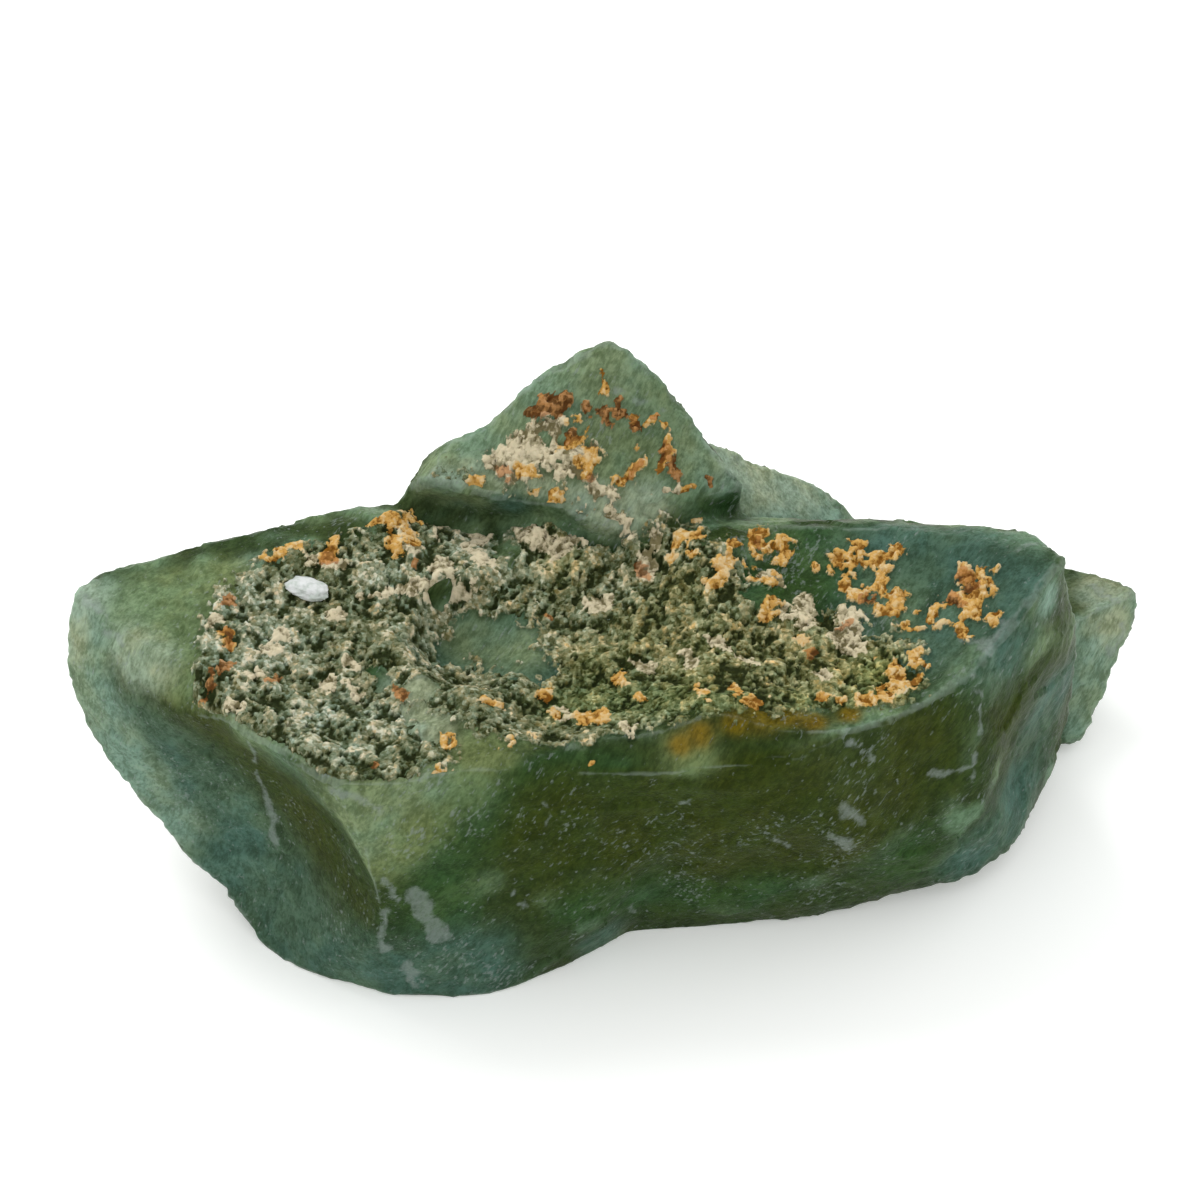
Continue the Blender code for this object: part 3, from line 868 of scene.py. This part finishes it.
crust_place = shaken(ground, 0.25, 0.16) / np.array(GRAIN_STRETCH)
large = grains(crust_place, LARGE_GRAIN, 2.0)
small = grains(crust_place, SMALL_GRAIN, 7.0)
patch = noise_at(ground, PATCH_LENGTH, 11.0) + 0.6 * noise_at(ground, 1.0, 4.0)
field = 0.9 * (large - 0.5) + 0.95 * (small - 0.5) + 0.45 * patch
print("grains vary by", round(float(field.std()), 2))

# %% Crests and pits
PIT_CUT = (-0.50, -0.10)
CALM_CUT = 0.35
CRUST_RISE = 0.26
PIT_DEPTH = 0.20
GRAIN_RISE = 0.20
CLUMP_RISE = 0.16
BORDER_WIDTH = (-2.4, 2.6)
BORDER_RAGGEDNESS = 1.6
GRAIN_BY_GRAIN = 1.1

crest = smoothstep(PIT_CUT[0], PIT_CUT[1], field + CALM_CUT * calm)
ragged = noise_at(ground, 2.2, 5.0) + 0.5 * noise_at(ground, 0.8, 8.0)
depth = depth_inside(plan, crust_outline) + ragged * BORDER_RAGGEDNESS
chance = smoothstep(*BORDER_WIDTH, depth)
chance *= 1.0 - smoothstep(0.15, 0.85, bare + 0.35 * ragged)
undecided = 4.0 * chance * (1.0 - chance)
grain_luck = 0.5 * small + 0.5 * large - 0.5
covered = smoothstep(0.42, 0.60, chance + GRAIN_BY_GRAIN * grain_luck * undecided)
grain_edge = 0.55 * (small - 0.5) + 0.35 * (large - 0.5)
ochre_clump = smoothstep(0.16, 0.62, ochre + grain_edge * (ochre > 0.02))
cream_near = np.maximum(cream, 0.7 * ochre)
cream_clump = smoothstep(0.14, 0.60, cream_near + grain_edge * (cream_near > 0.02))
rust_clump = smoothstep(0.22, 0.62, rust + grain_edge * (rust > 0.02))
clump = np.maximum.reduce((ochre_clump, cream_clump, rust_clump))
cover = np.maximum(covered, clump)
rise = CRUST_RISE - PIT_DEPTH * (1.0 - crest) + GRAIN_RISE * np.clip(field, -0.3, 0.9)
height = cover * rise + CLUMP_RISE * clump * (0.3 + 0.7 * large)
height = (height + SHEET_SKIN) * settled - SHEET_DIVE * (1.0 - settled)
outward = facing + np.array((0.0, 0.0, 0.5))
outward /= np.linalg.norm(outward, axis=1)[:, None]
sheet_points = ground + outward * height[:, None]
print("crests cover", round(100 * float(crest[covered > 0.5].mean())), "% of the crust")

# %% The sheet's faces
crust = bpy.data.objects.new("crust", bpy.data.meshes.new("crust"))
bpy.context.scene.collection.objects.link(crust)
number_of = np.full(len(whole_plan), -1)
number_of[used] = np.arange(len(plan))
numbers = number_of.reshape(grid_shape)
corners = np.stack((numbers[:-1, :-1], numbers[:-1, 1:], numbers[1:, 1:], numbers[1:, :-1]), axis=-1)
squares = corners.reshape(-1, 4)
squares = squares[(squares >= 0).all(axis=1)]
levels = ground[:, 2][squares]
squares = squares[np.ptp(levels, axis=1) < 2 * LARGEST_DROP]
kept, squares = np.unique(squares, return_inverse=True)
squares = squares.reshape(-1, 4)
crust.data.from_pydata((sheet_points[kept] * MM).tolist(), [], squares.tolist())
crust.data.update()
crust.data.shade_smooth()
print("the crust has", len(squares), "squares")

# %% [markdown]
# ## What the finishes read
#
# All marks are kept as numbers on the meshes. The sheet gets the same marks as the mass, so
# where it lies bare it looks like the mass and its border can't be found.

# %% Numbers on both meshes
marks = {"glow": glow, "arris": arris_line, "crease": crease, "bruise": bruise}
for name, values in marks.items():
    store(mass.data, name, values)
    store(crust.data, name, beside(values[:, None], landed, ground)[kept, 0])
crust_marks = {
    "ochre": ochre_clump, "rust": rust_clump, "cream": cream_clump, "cover": cover,
    "crest": crest, "field": field, "grain": large,
    "frosty": frosty, "mossy": mossy, "sunken": sunken,
}
for name, values in crust_marks.items():
    store(crust.data, name, values[kept])
for name, places in TINTS.items():
    store(mass.data, name, softly(moved, face_ways, places))
    store(crust.data, name, softly(ground[kept], ground_ways[kept], places))
print("the mass has", len(marks) + len(TINTS), "marks, the crust", len(crust_marks), "more")

# %% [markdown]
# ## The white fleck
#
# Near the left end a chip of white, opaque mineral sits in the crust. It is a small flat
# lump: a ball squashed to three sizes and dented by noise.

# %% A dented lump
FLECK_PLACE = (308, 594)
FLECK_SIZE = (2.35, 1.25, 0.7)
FLECK_RISE = 0.65
FLECK_TURN = math.radians(-24.0)
FLECK_DENT = 0.2


def dented_lump(name, middle, half_sizes, turn, dent):
    """A ball, dented by noise, squashed to three half sizes and turned about the upright."""
    bm = bmesh.new()
    bmesh.ops.create_icosphere(bm, subdivisions=5, radius=1.0)
    for vertex in bm.verts:
        push = 1.0 + dent * noise.noise(vertex.co * 1.4) + 0.5 * dent * noise.noise(vertex.co * 4.0)
        vertex.co = Vector([push * way * half for way, half in zip(vertex.co, half_sizes)])
        x, y, z = vertex.co
        vertex.co.x = x * math.cos(turn) - y * math.sin(turn)
        vertex.co.y = x * math.sin(turn) + y * math.cos(turn)
        vertex.co = (vertex.co + Vector(middle)) * MM
    mesh = bpy.data.meshes.new(name)
    bm.to_mesh(mesh)
    bm.free()
    mesh.shade_smooth()
    piece = bpy.data.objects.new(name, mesh)
    bpy.context.scene.collection.objects.link(piece)
    return piece


fleck_middle = on_stone(*FLECK_PLACE) + np.array((0.0, 0.0, FLECK_RISE))
fleck = dented_lump("white_fleck", fleck_middle, FLECK_SIZE, FLECK_TURN, FLECK_DENT)
print("the fleck is at", np.round(fleck_middle, 1))

# %% [markdown]
# ## Writing finishes as sums
#
# A finish is a small network of nodes, but it reads best as arithmetic. `Wire` wraps one
# socket and turns `+`, `-` and `*` into Math nodes, also where the number comes first, as in
# `1 - mask`. `Finish` owns a material, makes any other node, and mixes colours.

# %% Wires and finishes
GROWTH_TURN = (0.0, math.radians(-39.8), math.radians(49.2))


class Wire:
    """One output of a node, which can be used in a sum."""

    def __init__(self, finish, socket):
        self.finish = finish
        self.socket = socket

    def combine(self, operation, first, second):
        return self.finish.node("ShaderNodeMath", {"operation": operation}, {0: first, 1: second})

    def __add__(self, other):
        return self.combine("ADD", self, other)

    def __radd__(self, other):
        return self.combine("ADD", other, self)

    def __sub__(self, other):
        return self.combine("SUBTRACT", self, other)

    def __rsub__(self, other):
        return self.combine("SUBTRACT", other, self)

    def __mul__(self, other):
        return self.combine("MULTIPLY", self, other)

    def __rmul__(self, other):
        return self.combine("MULTIPLY", other, self)


class Finish:
    """A material, built node by node on its Principled shader."""

    def __init__(self, name):
        self.material = bpy.data.materials.new(name)
        self.material.use_nodes = True
        self.tree = self.material.node_tree
        self.shader = self.tree.nodes["Principled BSDF"]

    def plug(self, socket, value):
        """Links a wire to a socket, or sets the socket to a plain value."""
        if isinstance(value, Wire):
            self.tree.links.new(value.socket, socket)
        else:
            socket.default_value = value

    def node(self, kind, settings=None, sockets=None, output=0):
        """Makes a node, sets it, then fills its sockets, and returns one of its outputs."""
        made = self.tree.nodes.new(kind)
        for name, value in (settings or {}).items():
            if name == "stops":
                fill_ramp(made.color_ramp, value)
            else:
                setattr(made, name, value)
        for name, value in (sockets or {}).items():
            self.plug(made.inputs[name], value)
        return Wire(self, made.outputs[output])

    def stored(self, name):
        """A number kept on the mesh."""
        return self.node("ShaderNodeAttribute", {"attribute_name": name}, output="Fac")

    def place(self, longer=1.0):
        """The point on the object in millimetres, drawn out along the growth of the stone."""
        where = self.node("ShaderNodeTexCoord", output="Object")
        scaled = self.node("ShaderNodeVectorMath", {"operation": "SCALE"}, {0: where, "Scale": 1 / MM})
        if longer == 1.0:
            return scaled
        sockets = {"Vector": scaled, "Rotation": GROWTH_TURN, "Scale": (longer, 1.0, 1.0)}
        return self.node("ShaderNodeMapping", {"vector_type": "TEXTURE"}, sockets)

    def cloud(self, length, detail=3.0, roughness=0.55, longer=1.0, shift=0.0):
        """Soft noise around 0.5 whose patches are about length millimetres wide."""
        settings = {"noise_dimensions": "4D"}
        sockets = {
            "Vector": self.place(longer), "W": shift, "Scale": 1.0 / length,
            "Detail": detail, "Roughness": roughness,
        }
        return self.node("ShaderNodeTexNoise", settings, sockets, output="Fac")

    def mosaic(self, length, ragged=0.35):
        """Random numbers from 0 to 1, one for each grain about length millimetres wide."""
        where = self.place()
        settings = {"noise_dimensions": "3D"}
        shake = self.node("ShaderNodeTexNoise", settings, {"Vector": where, "Scale": 2.2 / length}, "Color")
        sockets = {0: shake, 1: (ragged * length,) * 3, 2: where}
        shaken_place = self.node("ShaderNodeVectorMath", {"operation": "MULTIPLY_ADD"}, sockets)
        sockets = {"Vector": shaken_place, "Scale": 1.0 / length}
        colour = self.node("ShaderNodeTexVoronoi", {"feature": "F1"}, sockets, output="Color")
        return [self.node("ShaderNodeSeparateColor", None, {0: colour}, way) for way in ("Red", "Green")]

    def between(self, value, start, end):
        """0 before start, 1 after end, with a soft rise."""
        settings = {"interpolation_type": "SMOOTHSTEP"}
        sockets = {"Value": value, "From Min": start, "From Max": end}
        return self.node("ShaderNodeMapRange", settings, sockets)

    def mixed(self, share, first, second, blend="MIX"):
        """A colour between two colours."""
        settings = {"data_type": "RGBA", "blend_type": blend}
        return self.node("ShaderNodeMix", settings, {0: share, 6: first, 7: second}, output=2)

    def bumped(self, heights, distance, under=None):
        """A surface direction that follows heights, up to a distance in millimetres."""
        sockets = {"Height": heights, "Distance": distance * MM, "Strength": 1.0}
        if under is not None:
            sockets["Normal"] = under
        return self.node("ShaderNodeBump", None, sockets)

    def finish(self, **sockets):
        """Fills the shader's sockets, named with _ where they have a space."""
        for name, value in sockets.items():
            self.plug(self.shader.inputs[name.replace("_", " ")], value)


def fill_ramp(ramp, stops):
    """Gives a colour ramp these stops, each a place from 0 to 1 and a colour."""
    while len(ramp.elements) < len(stops):
        ramp.elements.new(1.0)
    for element, (place, colour) in zip(ramp.elements, stops):
        element.position = place
        element.color = colour


def seen(red, green, blue, light=1.0):
    """The colour that looks like this on a screen, from 0 to 255, under this much light."""
    shares = [value / 255.0 for value in (red, green, blue)]
    linear = [s / 12.92 if s <= 0.04045 else ((s + 0.055) / 1.055) ** 2.4 for s in shares]
    return (*[value / light for value in linear], 1.0)


# %% [markdown]
# ## The green of the stone
#
# The same green serves the mass and the bare parts of the sheet, so it is one function.
# `glow` mixes a deep olive with a lit mint, which alone already colours the back and the
# underside. The tints then take their shares, with the painted light and shade that they carry.
# Over them lie fine streaks along the growth of the stone, light and dark clouds, pale lines
# along the arrises, which are painted highlights, darker ones in the creases, which are painted
# shade, bruises, and a dust of tiny pale flecks, which are small cracks that catch the light.
# `seen` turns a colour as it looks on a screen into the colour of the surface, by dividing by
# the light that falls there: more from above than in front.

# %% Green fluorite
LIGHT_ABOVE = 1.35
LIGHT_IN_FRONT = 1.08
FLUORITE_IOR = 1.434
STONE_SHINE = 0.05
STONE_ROUGHNESS = 0.26

DEEP = seen(44, 60, 26, LIGHT_IN_FRONT)
LIT = seen(104, 130, 98, LIGHT_ABOVE)
# Olive and forest are partly painted shade. Mint, sunlit and the pale edge tint are painted light coming
# through thin edges and the prow.
TINT_COLOURS = {
    "forest": seen(44, 72, 36, LIGHT_IN_FRONT),
    "olive": seen(46, 57, 12, LIGHT_IN_FRONT),
    "teal": seen(74, 104, 90, LIGHT_ABOVE),
    "mint": seen(124, 150, 128, LIGHT_ABOVE),
    "sunlit": seen(114, 132, 88, LIGHT_ABOVE),
    "leaf": seen(118, 140, 108, LIGHT_ABOVE),
    "frosted": seen(158, 172, 146, LIGHT_ABOVE),
    "amber": seen(104, 84, 0, LIGHT_IN_FRONT),
}
TINT_STRENGTH = {
    "forest": 0.85, "olive": 0.92, "teal": 0.85, "mint": 0.9, "sunlit": 0.75, "frosted": 0.7,
    "leaf": 0.8, "amber": 0.75,
}
PAINTED_ARRIS_HIGHLIGHT = seen(172, 186, 176, LIGHT_ABOVE)
BRUISED = seen(150, 162, 156, LIGHT_ABOVE)
SHADE = (0.66, 0.69, 0.62, 1.0)
SHINE = (1.38, 1.34, 1.38, 1.0)
BROWNER = (1.08, 1.00, 0.88, 1.0)
GREENER = (0.94, 1.01, 1.06, 1.0)
PAINTED_CREASE_SHADE = (0.72, 0.76, 0.70, 1.0)
FULL = (1.0, 1.0, 1.0, 1.0)


def stone_green(finish):
    """The colour of the green stone, its streaks and mottle, and painted light and shade."""
    mottle = finish.cloud(2.2, detail=5.0, roughness=0.62, shift=2.0)
    grit = finish.cloud(0.7, detail=4.0, roughness=0.65, longer=1.6, shift=8.0)
    drift = finish.cloud(5.5, detail=3.0, shift=4.0)
    streaks = finish.cloud(0.30, detail=3.0, roughness=0.65, longer=4.0, shift=3.0)
    lit_share = finish.between(finish.stored("glow") + (mottle - 0.5) * 0.2, 0.08, 0.6)
    colour = finish.mixed(lit_share, DEEP, LIT)
    for name, tint in TINT_COLOURS.items():
        share = finish.between(finish.stored(name) + (mottle - 0.5) * 0.22, 0.05, 0.95)
        colour = finish.mixed(share * TINT_STRENGTH[name], colour, tint)
    bands = finish.between(streaks * 0.35 + mottle * 0.25 + grit * 0.4, 0.40, 0.60)
    colour = finish.mixed(1.0, colour, finish.mixed(bands, SHADE, SHINE), "MULTIPLY")
    cloudy = finish.between(drift, 0.38, 0.62)
    colour = finish.mixed(1.0, colour, finish.mixed(cloudy, BROWNER, GREENER), "MULTIPLY")
    # Darker in the creases: painted shade.
    crease_shade = finish.mixed(finish.stored("crease"), FULL, PAINTED_CREASE_SHADE)
    colour = finish.mixed(1.0, colour, crease_shade, "MULTIPLY")
    # Pale lines along the arrises: painted highlights.
    arris_highlight_share = finish.between(finish.stored("arris") * (0.3 + grit * 1.2), 0.2, 0.9)
    colour = finish.mixed(arris_highlight_share * 0.22, colour, PAINTED_ARRIS_HIGHLIGHT)
    cracks = finish.cloud(0.5, detail=5.0, roughness=0.75, longer=1.6, shift=5.0)
    bruise_share = finish.between(finish.stored("bruise") + (cracks - 0.5) * 1.9, 0.25, 1.15)
    colour = finish.mixed(bruise_share * 0.5, colour, BRUISED)
    dust = finish.cloud(0.34, detail=2.0, longer=2.8, shift=6.0)
    dust_places = finish.cloud(6.0, detail=3.0, shift=9.0)
    dust_share = finish.between(dust + (dust_places - 0.5) * 0.5, 0.60, 0.76)
    colour = finish.mixed(dust_share * 0.45, colour, BRUISED)
    return colour, streaks, mottle


def stone_relief(finish, streaks):
    """The fine unevenness of a broken face."""
    small_steps = finish.bumped(finish.cloud(1.5, detail=6.0, roughness=0.6, shift=7.0), 0.45)
    return finish.bumped(streaks, 0.08, under=small_steps)


green = Finish("green_fluorite")
green_colour, green_streaks, green_mottle = stone_green(green)
green.finish(
    Base_Color=green_colour,
    Roughness=STONE_ROUGHNESS + green_mottle * STONE_ROUGHNESS,
    Normal=stone_relief(green, green_streaks),
    IOR=FLUORITE_IOR,
    Specular_IOR_Level=STONE_SHINE,
    Subsurface_Weight=0.25,
    Subsurface_Radius=(0.7, 1.0, 0.75),
    Subsurface_Scale=1.6 * MM,
)
mass.data.materials.clear()
mass.data.materials.append(green.material)

# %% [markdown]
# ## The finish of the crust
#
# Each grain of the sheet gets a tone from the number that also raised it, and a mosaic of
# still smaller grains lies over it, made by a Voronoi texture. A second random number turns
# some grains creamy, some olive. The left of the crust is frosted, the right is warmer, and
# the lower border sinks into the green. Ochre, rust and cream take whole grains. Where the
# sheet carries no crust, it has the green of the mass.

# %% Tones of the crust
TONE_STOPS = (
    (0.0, seen(34, 40, 16, LIGHT_ABOVE)), (0.22, seen(66, 72, 40, LIGHT_ABOVE)),
    (0.48, seen(112, 120, 94, LIGHT_ABOVE)), (0.74, seen(158, 164, 142, LIGHT_ABOVE)),
    (1.0, seen(222, 220, 204, LIGHT_ABOVE)),
)
HUE_STOPS = (
    (0.0, (0.88, 1.04, 1.02, 1.0)), (0.30, (0.96, 1.02, 0.92, 1.0)),
    (0.60, (1.06, 1.00, 0.84, 1.0)), (0.82, (1.16, 0.98, 0.74, 1.0)), (1.0, (1.26, 0.90, 0.50, 1.0)),
)
FROST = (1.04, 1.05, 1.10, 1.0)
MOSS = (1.12, 1.04, 0.82, 1.0)
MURK = (0.80, 0.88, 0.64, 1.0)
PIT_SHADE = seen(38, 46, 20, LIGHT_ABOVE)
OCHRE_DEEP = seen(150, 98, 30, LIGHT_ABOVE)
OCHRE_MID = seen(224, 172, 84, LIGHT_ABOVE)
OCHRE_PALE = seen(236, 208, 156, LIGHT_ABOVE)
RUST_BROWN = seen(120, 72, 34, LIGHT_ABOVE)
RUST_ORANGE = seen(192, 122, 54, LIGHT_ABOVE)
CREAM_DARK = seen(136, 126, 90, LIGHT_ABOVE)
CREAM_PALE = seen(238, 224, 190, LIGHT_ABOVE)

sugar = Finish("sugary_crust")
stone_colour, sugar_streaks, sugar_mottle = stone_green(sugar)
tiny, tiny_hue = sugar.mosaic(0.34)
speckle = sugar.cloud(0.30, detail=4.0, roughness=0.7, shift=1.0)
frosty_wire = sugar.stored("frosty")
mossy_wire = sugar.stored("mossy")
crest_wire = sugar.stored("crest")
tone = sugar.stored("field") * 0.42 + (tiny - 0.5) * 0.42 + (speckle - 0.5) * 0.7 + 0.42
# The crests are a little lighter and the pits a little darker: painted light and shade on the grains.
tone = tone + crest_wire * 0.12 - 0.08 + frosty_wire * 0.14
crust_colour = sugar.node("ShaderNodeValToRGB", {"stops": TONE_STOPS}, {"Fac": tone})
hue_number = tiny_hue * 0.5 + sugar.stored("grain") * 0.5 - frosty_wire * 0.12
hue = sugar.node("ShaderNodeValToRGB", {"stops": HUE_STOPS}, {"Fac": hue_number})
crust_colour = sugar.mixed(1.0, crust_colour, hue, "MULTIPLY")
frost = sugar.mixed(frosty_wire, FULL, FROST)
crust_colour = sugar.mixed(1.0, crust_colour, frost, "MULTIPLY")
moss = sugar.mixed(mossy_wire, FULL, MOSS)
crust_colour = sugar.mixed(1.0, crust_colour, moss, "MULTIPLY")
murk = sugar.mixed(sugar.stored("sunken"), FULL, MURK)
crust_colour = sugar.mixed(1.0, crust_colour, murk, "MULTIPLY")
# The pits between the crests are darkened further: painted shade.
pit_shade_share = (1 - crest_wire) * sugar.between(tiny * 0.5 + speckle * 0.5, 0.25, 0.6)
crust_colour = sugar.mixed(pit_shade_share * 0.8, crust_colour, PIT_SHADE)

# %% Stains and the whole crust
stain_edge = (tiny - 0.5) * 0.5 + (speckle - 0.5) * 0.5
cream_share = sugar.between(sugar.stored("cream") + stain_edge, 0.3, 0.7)
cream_colour = sugar.mixed(sugar.between(tone, 0.15, 0.7), CREAM_DARK, CREAM_PALE)
crust_colour = sugar.mixed(cream_share * 0.82, crust_colour, cream_colour)
ochre_share = sugar.between(sugar.stored("ochre") + stain_edge, 0.3, 0.7)
ochre_colour = sugar.mixed(sugar.between(tone, 0.1, 0.45), OCHRE_DEEP, OCHRE_MID)
ochre_colour = sugar.mixed(sugar.between(tone, 0.45, 0.85), ochre_colour, OCHRE_PALE)
crust_colour = sugar.mixed(ochre_share * 0.9, crust_colour, ochre_colour)
rust_share = sugar.between(sugar.stored("rust") + stain_edge, 0.4, 0.75)
rust_colour = sugar.mixed(sugar.between(tone, 0.3, 0.7), RUST_BROWN, RUST_ORANGE)
crust_colour = sugar.mixed(rust_share * 0.7, crust_colour, rust_colour)
cover_share = sugar.between(sugar.stored("cover") + stain_edge * 0.8, 0.25, 0.8)
sugar.finish(
    Base_Color=sugar.mixed(cover_share, stone_colour, crust_colour),
    Roughness=STONE_ROUGHNESS + sugar_mottle * STONE_ROUGHNESS + cover_share * 0.3,
    Normal=sugar.bumped(tiny * 0.5 + speckle, 0.16, under=stone_relief(sugar, sugar_streaks)),
    IOR=FLUORITE_IOR,
    Specular_IOR_Level=STONE_SHINE,
    Subsurface_Weight=0.2,
    Subsurface_Radius=(0.8, 1.0, 0.8),
    Subsurface_Scale=0.8 * MM,
)
crust.data.materials.append(sugar.material)

# %% White mineral
FLECK_WHITE = seen(226, 229, 228, LIGHT_ABOVE)
FLECK_SHADOW = seen(190, 200, 192, LIGHT_ABOVE)

chalk = Finish("white_mineral")
chalk_cloud = chalk.cloud(0.8, detail=4.0, shift=1.0)
chalk.finish(
    Base_Color=chalk.mixed(chalk.between(chalk_cloud, 0.35, 0.6), FLECK_SHADOW, FLECK_WHITE),
    Roughness=0.5 + chalk_cloud * 0.2,
    Normal=chalk.bumped(chalk.cloud(0.5, detail=4.0, shift=2.0), 0.15),
    Subsurface_Weight=0.3,
    Subsurface_Radius=(1.0, 1.0, 1.0),
    Subsurface_Scale=0.8 * MM,
)
fleck.data.materials.append(chalk.material)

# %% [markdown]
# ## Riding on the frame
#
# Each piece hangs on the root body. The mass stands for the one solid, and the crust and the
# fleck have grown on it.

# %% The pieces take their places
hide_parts("fluorite")
for piece in (mass, crust, fleck):
    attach(piece, "root")

# %% [markdown]
# ## The studio
#
# The stone stands on a white table in a tent of white light, with a large soft light above
# and a little behind it on the left. That leaves the front faces in the shade, as they should
# be, and lays a faint shadow in front of the stone and on its right.

# %% The table
TABLE_SIZE = 4.0

bpy.ops.mesh.primitive_plane_add(size=TABLE_SIZE, location=(0.0, 0.0, 0.0))
table = bpy.context.object
table.name = "table"
paper = Finish("white_table")
paper.finish(
    Base_Color=(0.92, 0.93, 0.92, 1.0),
    Roughness=0.9,
    Specular_IOR_Level=0.1,
    Emission_Color=(0.97, 1.0, 0.97, 1.0),
    Emission_Strength=0.2,
)
table.data.materials.append(paper.material)

# %% The lights
TENT_LIGHT = 1.08
KEY_POWER = 2.6
KEY_PLACE = Vector((-0.30, 0.36, 0.62))
KEY_SIZE = 0.45

world = bpy.data.worlds.new("white tent")
world.use_nodes = True
tent = world.node_tree.nodes["Background"]
tent.inputs["Color"].default_value = (1.0, 1.0, 1.0, 1.0)
tent.inputs["Strength"].default_value = TENT_LIGHT
bpy.context.scene.world = world

key = bpy.data.objects.new("key", bpy.data.lights.new("key", "AREA"))
key.data.shape = "DISK"
key.data.size = KEY_SIZE
key.data.energy = KEY_POWER
key.location = KEY_PLACE
key.rotation_euler = (-KEY_PLACE).to_track_quat("-Z", "Y").to_euler()
bpy.context.scene.collection.objects.link(key)
bpy.context.scene.view_settings.view_transform = "Standard"
